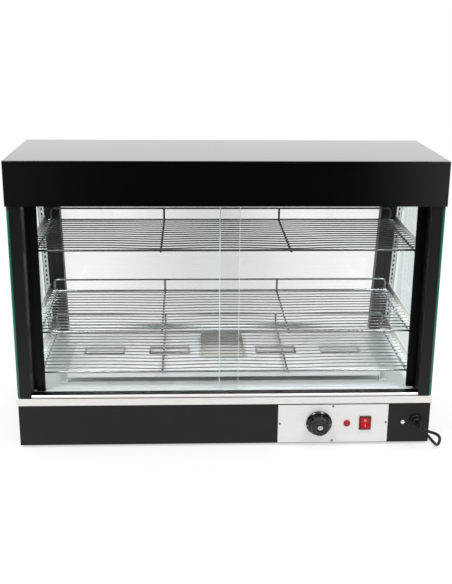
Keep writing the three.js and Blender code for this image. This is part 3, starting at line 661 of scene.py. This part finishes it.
FOLDED = {  # how far each folded, cast or extruded piece's edges are rounded, in mm
    "base_shell": 0.7, "base_bottom_cover": 0.4, "base_trim_frame": 0.7,
    "canopy_ceiling_pan": 0.4, "door_track_upper": 0.5,
    "front_post_left": 1.1, "front_post_right": 1.1,
    "front_pilaster_left": 0.3, "front_pilaster_right": 0.3, "rear_pilaster_left": 0.3,
    "rear_pilaster_right": 0.3, "door_edge_left": 0.7, "door_edge_right": 0.7,
    "switch_housing": 0.8, "control_panel": 0.45, "thermostat": 0.6, "terminal_block": 0.8,
}


def add_sill():
    """The bright lip before the doors, with a black seal let into its top, a thin black strip along the
    foot of its front face as painted shade of the gap there, and the lower track.
    """
    bm = bevelled(solid_copy("door_sill"), 0.5 * MM)
    low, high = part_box("door_sill")
    for face in bm.faces:
        spot = face.calc_center_median()
        face.material_index = 1 if face.normal.z > 0.9 and spot.z > high.z - 0.2 * MM else 0
    made = piece("door_sill_fine", finished(bm, "door_sill"), ["door_sill"],
                 [FINISHES[SLOT_OF["door_sill"]], FINISHES["door_edge_black"]])
    weighted(made)
    # painted shade: a thin black strip standing in for the shadow in the gap under the lip
    shade_strip = bmesh.new()
    box_mesh(shade_strip,
             (low.x, low.y - 0.3 * MM, low.z - 0.1 * MM), (high.x, low.y + 0.1 * MM, low.z + 1.3 * MM))
    piece("sill_painted_shade_strip", finished(shade_strip, "sill_painted_shade_strip"), ["door_sill"], slot="door_edge_black", replaces=False)
    track = bevelled(solid_copy("door_track_lower"), 0.4 * MM)
    weighted(piece("door_track_lower_fine", finished(track, "door_track_lower"), ["door_track_lower"],
                   [FLOOR_STEEL]))


GROOVE_HALF, GROOVE_DEEP = 1.8, 3   # half the groove's width, and its depth, in mm


def add_rear_posts():
    """The leaning rear posts, each with a groove down the face that looks towards the doors, whose faces
    take a darker, duller black as painted shade.
    """
    for hand in HANDS:
        node = f"rear_post_{hand}"
        bm = bevelled(solid_copy(node), 0.9 * MM)
        face = max((f for f in bm.faces if f.normal.y < -0.5), key=lambda f: f.calc_area())
        across = max(v.co.x for v in face.verts) - min(v.co.x for v in face.verts)
        border = across / 2 - GROOVE_HALF * MM
        bmesh.ops.inset_region(bm, faces=[face], thickness=border, use_even_offset=True)
        inward = face.normal * -GROOVE_DEEP * MM
        sunk = bmesh.ops.extrude_face_region(bm, geom=[face])["geom"]
        deep = [v for v in sunk if isinstance(v, bmesh.types.BMVert)]
        bmesh.ops.translate(bm, verts=deep, vec=inward)
        # the groove's faces take the darker, duller black: painted shade in the groove
        for wall in {f for v in deep for f in v.link_faces}:
            wall.material_index = 1
        weighted(piece(node + "_fine", finished(bm, node), [node],
                       [FINISHES["black_aluminium"], FINISHES["door_edge_black"]]))


PANES = {   # the axis a pane is thin along, its two finishes, and how wide its ground arris is, in mm
    "rear_glass": ("y", WALL_GLASS, WALL_EDGE, 0.6),
    "side_glass_left": ("x", SIDE_GLASS, WALL_EDGE, 0.6),
    "side_glass_right": ("x", SIDE_GLASS, WALL_EDGE, 0.6),
    "door_glass_left": ("y", DOOR_GLASS, DOOR_EDGE_PAINTED_HIGHLIGHT, 0.6),
    "door_glass_right": ("y", DOOR_GLASS, DOOR_EDGE_PAINTED_HIGHLIGHT, 1.6),
}


def add_panes():
    """Glass panes with ground edges: the faces are see-through and the edges show their colour."""
    for node, (thin, face_finish, edge_finish, arris) in PANES.items():
        bm = bevelled(solid_copy(node), arris * MM)
        for face in bm.faces:
            flat = abs(getattr(face.normal, thin)) > 0.95 and face.calc_area() > 0.01
            face.material_index = 0 if flat else 1
        piece(node + "_pane", finished(bm, node), [node], [face_finish, edge_finish])


FOOT_PROFILE = [(0, 0), (11.5, 0), (12.6, 0.4), (13.2, 1.2), (14.8, 5.2), (14.6, 5.7), (14, 5.7),
                (4, 5.7), (4, 6.6), (0.5, 6.6)]


def add_feet():
    """Short turned rubber feet, with a boss up into the base."""
    for side in ("front", "rear"):
        for hand in HANDS:
            node = f"foot_{side}_{hand}"
            low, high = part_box(node)
            centre = (low + high) / 2
            bm = bmesh.new()
            turned(bm, (0, 0), FOOT_PROFILE, 36)
            bmesh.ops.transform(bm, verts=bm.verts, matrix=(
                Matrix.Translation((centre.x, centre.y, low.z)) @ Matrix.Rotation(math.pi / 2, 4, "X")))
            piece(node + "_fine", finished(bm, node), [node])


# ---------------------------------------------------------------- shelves and heating

FRAME_ROD, CROSS_ROD, LONG_WIRE = 2.4 * MM, 2.5 * MM, 1.38 * MM
SHELF_PITCH = 20.4 * MM
FIRST_WIRE = 22 * MM
RAIL_HEIGHT, RAIL_SETBACK, RAIL_BEND = 27 * MM, 4.5 * MM, 10 * MM
RAIL_HALF, SIDE_ROD_X, CROSS_ROD_X = 411 * MM, 403 * MM, 139 * MM
WELD = 0.3 * MM
BOW_FRONT, BOW_BACK, BOW_WIDE = 3.2 * MM, 1.0 * MM, 75 * MM   # the long wires dip at the cross rods


def add_shelf(node):
    """Welded wire shelf: long wires on cross and side rods, and a raised rail along the back."""
    low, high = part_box(node)
    half, front = high.x, low.y + FRAME_ROD
    rail_y = high.y - FRAME_ROD
    back = rail_y - RAIL_SETBACK
    surface = high.z - RAIL_HEIGHT
    under = surface - 2 * LONG_WIRE + WELD

    def bow(y):
        return BOW_FRONT + (BOW_BACK - BOW_FRONT) * (y - front) / (back - front)

    bm = bmesh.new()
    y = front + FIRST_WIRE
    while y < back - 3 * MM:
        wire = []
        for i in range(33):
            x = half * (i / 16 - 1)
            dip = bow(y) * math.exp(-((abs(x) - CROSS_ROD_X) / BOW_WIDE) ** 2)
            wire.append(Vector((x, y, surface - LONG_WIRE - dip)))
        rod(bm, wire, LONG_WIRE)
        y += SHELF_PITCH
    for y in (front, back):
        z = surface - FRAME_ROD
        rod(bm, [Vector((-half, y, z)), Vector((half, y, z))], FRAME_ROD)
    for x in (-SIDE_ROD_X, SIDE_ROD_X):
        z = under - FRAME_ROD
        rod(bm, [Vector((x, front, z)), Vector((x, back, z))], FRAME_ROD)
    for x in (-CROSS_ROD_X, CROSS_ROD_X):
        z = under - CROSS_ROD
        corners = [Vector((x, front, z)), Vector((x, front + 12 * MM, z - bow(front))),
                   Vector((x, rail_y, z - bow(rail_y))), Vector((x, rail_y, high.z - FRAME_ROD))]
        rod(bm, rounded_path(corners, 6 * MM), CROSS_ROD)
    top, foot = high.z - FRAME_ROD, surface - FRAME_ROD - 4 * MM
    corners = [Vector((x, rail_y, z)) for x, z in (
        (-RAIL_HALF, foot), (-RAIL_HALF, top), (RAIL_HALF, top), (RAIL_HALF, foot))]
    rod(bm, rounded_path(corners, RAIL_BEND, 8), FRAME_ROD)
    # the top shelf takes the darker chrome, whose dark colour is a painted reflection of the hood
    look = TOP_WIRE_PAINTED_REFLECTION if node == "shelf_top" else FINISHES["chrome_wire"]
    piece(node + "_wires", finished(bm, node, 50), [node], [look])


ELEMENT_RADIUS, ELEMENT_BEND = 4 * MM, 12 * MM
ELEMENT_INNER, ELEMENT_OUTER, ELEMENT_WIDE = 72 * MM, 112 * MM, 41 * MM


def add_element(side, hand):
    """A sheathed element in a U, with both ends dropping through the floor pan."""
    node = f"heating_element_{hand}"
    low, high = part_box(node)
    z = high.z - ELEMENT_RADIUS
    far = max(abs(low.x), abs(high.x)) - ELEMENT_RADIUS
    front, back = low.y + ELEMENT_RADIUS, high.y - ELEMENT_RADIUS
    inside = front + ELEMENT_WIDE
    corners = [
        (ELEMENT_INNER, back, low.z), (ELEMENT_INNER, back, z), (ELEMENT_INNER, front, z),
        (far, front, z), (far, inside, z),
        (ELEMENT_OUTER, inside, z), (ELEMENT_OUTER, back, z), (ELEMENT_OUTER, back, low.z),
    ]
    path = rounded_path([Vector((side * x, y, height)) for x, y, height in corners], ELEMENT_BEND)
    bm = bmesh.new()
    rod(bm, path, ELEMENT_RADIUS, 16, dome=False)
    piece(node + "_sheath", finished(bm, node, 60), [node])


PLATE_SLOT_X = (-279, -126, 126, 279)   # middles of the heat plate's slots, in mm
GUARD_HALF, GUARD_FRONT, GUARD_BACK, GUARD_DROP = 44, 223, 262, 4.5


def add_plates():
    """The floor pan, and the heat plate with a pale guard strip under each of its four slots."""
    for node, look in (("floor_pan", FLOOR_STEEL), ("heat_plate", PLATE_STEEL)):
        bm = bevelled(solid_copy(node), 0.5 * MM)
        weighted(piece(node + "_fine", finished(bm, node), [node], [look]))
    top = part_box("heat_plate")[1].z
    guards = bmesh.new()
    for x in PLATE_SLOT_X:
        box_mesh(guards,
                 ((x - GUARD_HALF) * MM, (GUARD_FRONT - ORIGIN_Y) * MM, top - (GUARD_DROP + 1) * MM),
                 ((x + GUARD_HALF) * MM, (GUARD_BACK - ORIGIN_Y) * MM, top - GUARD_DROP * MM))
    piece("slot_guards", finished(guards, "slot_guards"), ["heat_plate"], [PLATE_STEEL], replaces=False)


def rounded_ring(half, y0, y1, radius, z, steps=8):
    """Points round a rounded rectangle at height z."""
    radius = max(radius, 0.2 * MM)
    made = []
    for quarter, (cx, cy) in enumerate((
            (half - radius, y0 + radius), (half - radius, y1 - radius),
            (radius - half, y1 - radius), (radius - half, y0 + radius))):
        for i in range(steps + 1):
            turn = math.pi / 2 * (quarter - 1 + i / steps)
            made.append(Vector((cx + radius * math.cos(turn), cy + radius * math.sin(turn), z)))
    return made


PAN_RIM, PAN_CORNER = 5 * MM, 14 * MM
PAN_SECTION = [   # inset from the rim's edge and height from its top, in mm: underside, rim, inside
    (9.6, -22), (6.4, -21), (5, -18.5), (5, -1.4), (0.3, -1.4), (0, -1.4), (0, -0.3), (0.6, 0),
    (4.2, 0), (5.6, -0.8), (6, -2), (6, -18), (7.2, -20.2), (9.6, -21), (30, -21),
]


def add_water_pan():
    """A pressed pan: rolled rim, straight walls and a rounded bottom edge."""
    low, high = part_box("water_pan")

    def ring(inset, drop):
        inset *= MM
        return rounded_ring(high.x - inset, low.y + inset, high.y - inset,
                            max(PAN_RIM + PAN_CORNER - inset, 3 * MM), high.z + drop * MM)

    bm = bmesh.new()
    capped(bm, [ring(*spot) for spot in PAN_SECTION])
    bmesh.ops.remove_doubles(bm, verts=bm.verts, dist=0.001 * MM)
    piece("water_pan_pressed", finished(bm, "water_pan", 50), ["water_pan"])


# ---------------------------------------------------------------- controls


KNOB_FLUTES, FLUTE_DEEP = 14, 0.75
KNOB_MARKS = (-172, -128, -108, -90, -72, -52, -4)   # degrees round the skirt


def add_knob():
    """A fluted grip on a bevelled skirt with marks, and a chrome insert in its raised ring."""
    low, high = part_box("thermostat_knob")
    middle = (low + high) / 2
    front, back = low.y / MM, high.y / MM
    skirt_front = back - 5

    def fluted(radius, along, angle):
        if along > skirt_front - 0.5 or radius < 15:
            return radius
        return radius - FLUTE_DEEP * (0.5 - 0.5 * math.cos(KNOB_FLUTES * angle)) ** 2

    profile = [
        (3.2, back), (27.6, back), (28.4, back - 0.4), (28.5, back - 1.2), (27.9, back - 2.2),
        (25, back - 4.4), (24, skirt_front), (21.6, skirt_front - 0.1), (21, skirt_front - 0.6),
        (20.8, skirt_front - 2), (20.6, front + 6), (20.2, front + 2.4), (19.4, front + 1),
        (18, front + 0.3), (16, front + 0.2), (11.4, front + 0.6), (10.8, front), (9.4, front),
        (8.8, front + 0.5), (6.9, front + 0.7), (6.3, front + 1), (6.3, front + 3), (3.2, front + 3),
    ]
    bm = bmesh.new()
    turned(bm, (middle.x, middle.z), profile, KNOB_FLUTES * 14, fluted)
    piece("knob_body", finished(bm, "knob_body", 48), ["thermostat_knob"])

    marks = bmesh.new()
    for degrees in KNOB_MARKS:
        angle = math.radians(degrees)
        along = Vector((math.cos(angle), 0, math.sin(angle)))
        across = Vector((-math.sin(angle), 0, math.cos(angle)))
        corners = []
        for reach, depth in ((24.6, skirt_front + 0.28), (28.1, back - 2.05)):
            for half in (-0.75, 0.75):
                spot = Vector((middle.x, 0, middle.z)) + along * reach * MM + across * half * MM
                spot.y = (depth - 0.14) * MM
                corners.append(spot)
        face = marks.faces.new([marks.verts.new(corners[i]) for i in (0, 1, 3, 2)])
        raised = bmesh.ops.extrude_face_region(marks, geom=[face])
        verts = [v for v in raised["geom"] if isinstance(v, bmesh.types.BMVert)]
        bmesh.ops.translate(marks, verts=verts, vec=(0, 0.3 * MM, 0))
    piece("knob_marks", finished(marks, "knob_marks"), ["thermostat_knob"], [MARKS], replaces=False)

    low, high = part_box("knob_insert")
    front, back = low.y / MM, high.y / MM
    profile = [(0.2, front), (2.2, front + 0.05), (2.6, front + 0.25), (3, front + 0.1),
               (4.6, front + 0.25), (5.6, front + 0.7), (5.95, front + 1.4), (5.95, back), (0.2, back)]
    bm = bmesh.new()
    turned(bm, (middle.x, middle.z), profile, 48)
    piece("knob_cap", finished(bm, "knob_cap", 30), ["knob_insert"])
    holes = bmesh.new()
    for across, up in ((-1.9, -1.3), (1.9, 1.3)):
        turned(holes, (middle.x + across * MM, middle.z + up * MM),
               [(0.1, front - 0.05), (1.15, front), (1.15, front + 0.5), (0.1, front + 0.5)], 16)
    piece("knob_cap_holes", finished(holes, "knob_cap_holes"), ["knob_insert"], slot="black_knob",
          replaces=False)


def add_lamp():
    """A faceted red lens in its rim."""
    low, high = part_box("pilot_lamp")
    middle = (low + high) / 2
    front, back = low.y / MM, high.y / MM
    radius = (high.x - low.x) / 2 / MM
    bm = bmesh.new()
    profile = [(0.6, front), (radius * 0.42, front + 0.25), (radius * 0.7, front + 1.3),
               (radius * 0.84, front + 3.3)]
    turned(bm, (middle.x, middle.z), profile, 10)
    piece("lamp_lens", finished(bm, "lamp_lens", 8), ["pilot_lamp"])
    rim = bmesh.new()
    profile = [(radius * 0.8, front + 3.6), (radius * 0.86, front + 3), (radius * 0.96, front + 3),
               (radius, front + 3.5), (radius, front + 6.1), (5, front + 6.1), (5, back), (0.5, back),
               (0.5, front + 3.6)]
    turned(rim, (middle.x, middle.z), profile, 40)
    piece("lamp_rim", finished(rim, "lamp_rim"), ["pilot_lamp"], replaces=False)


ROCKER_RADIUS, ROCKER_CORNER, ROCKER_TRAVEL = 12.7, 20.6, 19.0


def add_rocker():
    """A shallow V that rests with its upper half pressed in, with generic on and off marks."""
    low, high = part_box("switch_rocker")
    joint = next(j for j in frame["joints"] if j["name"] == "switch_rock")
    pivot = Vector(joint["pos_m"])
    half = (high.x - low.x) / 2

    def on_arc(degrees):
        turn = math.radians(degrees)
        return (-ROCKER_RADIUS * math.sin(turn), ROCKER_RADIUS * math.cos(turn))

    upper = [on_arc(ROCKER_CORNER), on_arc(ROCKER_CORNER / 2), on_arc(0), on_arc(-20), (7, 5)]
    lower = [(y, -z) for y, z in reversed(upper)]
    middle = [(-3.25, -1.6), (-3.0, 0), (-3.25, 1.6)]
    outline = lower + middle + upper
    tilt = Matrix.Translation(pivot) @ Matrix.Rotation(math.radians(-ROCKER_TRAVEL / 2), 4, "X")
    bm = bmesh.new()
    rings_mesh(bm, [[Vector((x, y * MM, z * MM)) for y, z in outline] for x in (-half, half)])
    for x in (-half, half):
        bm.faces.new([v for v in bm.verts if abs(v.co.x - x) < 0.01 * MM])
    bmesh.ops.recalc_face_normals(bm, faces=bm.faces)
    bevelled(bm, 0.5 * MM, 3, 40)
    bmesh.ops.transform(bm, matrix=tilt, verts=bm.verts)
    piece("rocker_key", finished(bm, "rocker_key", 35), ["switch_rocker"])

    corner = on_arc(ROCKER_CORNER)
    slope = math.atan2(corner[0] + 3, corner[1])
    marks = bmesh.new()
    for sign in (1, -1):
        where = Matrix.Translation((0, (-3 + corner[0]) / 2 * MM - 0.1 * MM, sign * corner[1] / 2 * MM))
        where = tilt @ where @ Matrix.Rotation(-sign * slope, 4, "X")
        mark = bmesh.new()
        if sign > 0:
            sides = 36
            rings = [
                [Vector((r * MM * math.cos(2 * math.pi * i / sides), y * MM,
                         r * MM * math.sin(2 * math.pi * i / sides))) for i in range(sides)]
                for r, y in ((2.6, 0.2), (2.6, -0.05), (1.7, -0.05), (1.7, 0.2))
            ]
            loops = rings_mesh(mark, rings)
            for i in range(sides):
                j = (i + 1) % sides
                mark.faces.new((loops[-1][i], loops[-1][j], loops[0][j], loops[0][i]))
        else:
            box_mesh(mark, (-0.45 * MM, -0.05 * MM, -2.9 * MM), (0.45 * MM, 0.2 * MM, 2.9 * MM))
        bmesh.ops.transform(mark, matrix=where, verts=mark.verts)
        part = bpy.data.meshes.new("mark")
        mark.to_mesh(part)
        mark.free()
        marks.from_mesh(part)
        bpy.data.meshes.remove(part)
    piece("rocker_marks", finished(marks, "rocker_marks"), ["switch_rocker"], [MARKS], replaces=False)


HEAD_DEEP, SHANK_FROM = 1.6, 4   # a screw's head, and how long its node is where it shows a shank


def add_screw(node, head, recess):
    """A pan-head screw with a cross recess."""
    low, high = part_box(node)
    middle = (low + high) / 2
    front, back = low.y / MM, high.y / MM
    deep = min(back - front, HEAD_DEEP)
    profile = [(0.05, front), (head * 0.5, front + 0.08), (head * 0.85, front + deep * 0.35),
               (head, front + deep * 0.8), (head, front + deep), (head * 0.5, front + deep)]
    if back - front > SHANK_FROM:
        profile += [(2, back), (0.05, back)]
    else:
        profile += [(0.05, front + deep)]
    bm = bmesh.new()
    turned(bm, (middle.x, middle.z), profile, 24)
    made = piece(node + "_head", finished(bm, node), [node])
    tool = bmesh.new()
    for wide, tall in ((recess, recess * 0.28), (recess * 0.28, recess)):
        box_mesh(tool, (middle.x - wide * MM, (front - 1) * MM, middle.z - tall * MM),
                 (middle.x + wide * MM, (front + 0.7) * MM, middle.z + tall * MM))
    mesh = bpy.data.meshes.new("tool")
    tool.to_mesh(mesh)
    tool.free()
    cutter = bpy.data.objects.new("tool", mesh)
    SCENE.collection.objects.link(cutter)
    cutting = made.modifiers.new("recess", "BOOLEAN")
    cutting.object = cutter
    cutting.operation = "DIFFERENCE"
    cutting.use_self = True
    bpy.context.view_layer.update()
    shown = made.evaluated_get(bpy.context.evaluated_depsgraph_get())
    made.data = bpy.data.meshes.new_from_object(shown)
    made.modifiers.clear()
    bpy.data.objects.remove(cutter)


NUT_NOTCHES = 16


def add_gland():
    """A nylon cable gland: a notched clamping nut on a round collar."""
    low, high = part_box("cable_gland")
    middle = (low + high) / 2
    front, back = low.y / MM, high.y / MM

    def notched(radius, along, angle):
        if 9.5 < radius < 12 and along < front + 7.5:
            return radius - 0.5 * (0.5 + 0.5 * math.cos(NUT_NOTCHES * angle)) ** 3
        return radius

    profile = [
        (3.4, front + 1), (3.8, front), (6.6, front), (8.6, front + 1), (9.8, front + 2.6),
        (10.4, front + 3.4), (10.5, front + 6.6), (9.6, front + 7), (9.6, front + 7.4),
        (13.2, front + 7.6), (14.4, front + 8.2), (15, front + 9.4), (15, front + 12.1), (8, front + 12.2),
        (8, back), (3.4, back),
    ]
    bm = bmesh.new()
    turned(bm, (middle.x, middle.z), profile, NUT_NOTCHES * 8, notched)
    piece("gland_body", finished(bm, "gland_body", 40), ["cable_gland"])


# ---------------------------------------------------------------- light and backdrop

BACKDROP = 1.0        # what the camera sees behind the case
BEHIND, ABOVE, FRONT, BELOW = 1.35, 1.25, 0.12, 0.02
LOW_LEFT, LOW_RIGHT = 0.3, 0.9   # how bright it is below the horizon at either side
WINDOW = 2.0          # how much brighter the backdrop is above the case's own height


def add_world():
    """A white studio: bright behind and above, dark on the camera's side, white to the camera."""
    world = bpy.data.worlds.new("studio")
    SCENE.world = world
    world.use_nodes = True
    tree = world.node_tree
    tree.nodes.clear()

    def node(kind, **inputs):
        """A world node. i0, i1 and so on are its inputs by number."""
        made = tree.nodes.new("ShaderNode" + kind)
        for key, value in inputs.items():
            socket = made.inputs[int(key[1:])]
            if isinstance(value, bpy.types.NodeSocket):
                tree.links.new(value, socket)
            else:
                socket.default_value = value
        return made

    def ramp(value, low, high, to_low, to_high):
        """Eases from to_low to to_high as a direction's value goes from low to high."""
        made = node("MapRange", i0=value, i1=low, i2=high, i3=to_low, i4=to_high)
        made.interpolation_type = "SMOOTHSTEP"
        return made.outputs[0]

    def mix(factor, a, b):
        return node("Mix", i0=factor, i2=a, i3=b).outputs[0]

    # Each band of the sky starts and ends at two values of the direction's x, y or z.
    split = node("SeparateXYZ", i0=node("TexCoord").outputs["Generated"]).outputs
    x, y, z = split[0], split[1], split[2]
    level = ramp(y, -0.1, 0.35, FRONT, BEHIND)
    window = node("Math", i0=ramp(z, 0.2, 0.38, 0.0, WINDOW), i1=ramp(y, 0.3, 0.7, 0.0, 1.0))
    window.operation = "MULTIPLY"
    behind = node("Math", i0=level, i1=window.outputs[0]).outputs[0]
    lifted = mix(ramp(z, 0.45, 0.85, 0.0, 1.0), behind, ABOVE)
    left = ramp(x, -0.32, -0.06, LOW_LEFT, BELOW)
    right = ramp(x, 0.17, 0.33, 0.0, LOW_RIGHT)
    beneath = node("Math", i0=left, i1=right).outputs[0]
    seen = mix(ramp(z, -0.12, -0.02, 1.0, 0.0), lifted, beneath)
    strength = mix(node("LightPath").outputs["Is Camera Ray"], seen, BACKDROP)
    background = node("Background", i0=(1, 1, 1, 1), i1=strength)
    output = tree.nodes.new("ShaderNodeOutputWorld")
    tree.links.new(background.outputs[0], output.inputs[0])


FLOOR_SHADE, FLOOR_GLOW = 0.3, 0.61
FLOOR_HALF, FLOOR_NEAR, FLOOR_FAR = 2.2, -0.95, 2.6
FLOOR_PAINTED_SHADE = 0.23      # painted shade: how much darker the floor is painted straight behind the case
PAINTED_SHADE_ASIDE, PAINTED_SHADE_BEHIND = (0.02, 0.48), (0.3, 0.8)   # where that painted shade fades out in x, and in along y


def add_floor():
    """A pale floor that runs from just before the case to well behind it, with a painted shade straight
    behind the case.
    """
    bm = bmesh.new()
    corners = ((-FLOOR_HALF, FLOOR_NEAR), (FLOOR_HALF, FLOOR_NEAR),
               (FLOOR_HALF, FLOOR_FAR), (-FLOOR_HALF, FLOOR_FAR))
    bm.faces.new([bm.verts.new((x, y, 0)) for x, y in corners])
    grey = (FLOOR_SHADE,) * 3
    finish = Finish("pale_floor", grey, 0.9)
    spot = finish.node("SeparateXYZ", {0: finish.place()}).outputs
    # painted shade: the floor's colour and glow are lowered straight behind the case
    away = finish.eased(finish.arithmetic("ABSOLUTE", spot[0]), 1.0, 0.0, PAINTED_SHADE_ASIDE)
    behind = finish.eased(spot[1], 0.0, FLOOR_PAINTED_SHADE, PAINTED_SHADE_BEHIND)
    dip = finish.arithmetic("MULTIPLY", away, behind)
    finish.vary_color(dip, grey, (0, 0, 0))
    glow = finish.arithmetic("MULTIPLY", finish.arithmetic("SUBTRACT", 1.0, dip), FLOOR_GLOW)
    finish.tree.links.new(glow, finish.shader.inputs["Emission Strength"])
    finish.set(**{"Emission Color": (1, 1, 1, 1), "Specular IOR Level": 0.0})
    mesh = finished(bm, "floor")
    mesh.materials.append(finish.material)
    floor = bpy.data.objects.new("floor", mesh)
    SCENE.collection.objects.link(floor)


KEY_TARGET = Vector((0, 0, 0.25))
KEYS = (   # name, place, size in metres and power in watts of each area light
    ("key_left", (-1.3, -1.55, 2.35), 0.9, 39),
    ("key_right", (1.35, -1.45, 2.25), 0.7, 35.5),
)


def add_key(name, place, size, power):
    data = bpy.data.lights.new(name, "AREA")
    data.shape = "RECTANGLE"
    data.size = data.size_y = size
    data.energy = power
    lamp = bpy.data.objects.new(name, data)
    lamp.location = place
    lamp.rotation_euler = (KEY_TARGET - Vector(place)).to_track_quat("-Z", "Y").to_euler()
    SCENE.collection.objects.link(lamp)


# ---------------------------------------------------------------- assembly

add_canopy()
for node, width in FOLDED.items():
    edged(node, width)
for shelf in SHELVES:
    add_shelf(shelf)
    for hand in HANDS:
        edged(f"{shelf}_bracket_{hand}", 0.4)
for side, hand in ((-1, "left"), (1, "right")):
    add_element(side, hand)
add_sill()
add_rear_posts()
add_panes()
add_feet()
add_plates()
add_water_pan()
add_knob()
add_lamp()
add_rocker()
for number in range(1, 5):
    add_screw(f"panel_screw_{number}", 2.5, 1.3)
add_screw("earth_screw", 4.5, 2.2)
add_gland()
add_world()
add_floor()
for key in KEYS:
    add_key(*key)

SCENE.view_settings.view_transform = "Standard"
SCENE.view_settings.look = "None"
SCENE.cycles.max_bounces = 16
SCENE.cycles.transparent_max_bounces = 24
SCENE.cycles.use_denoising = True
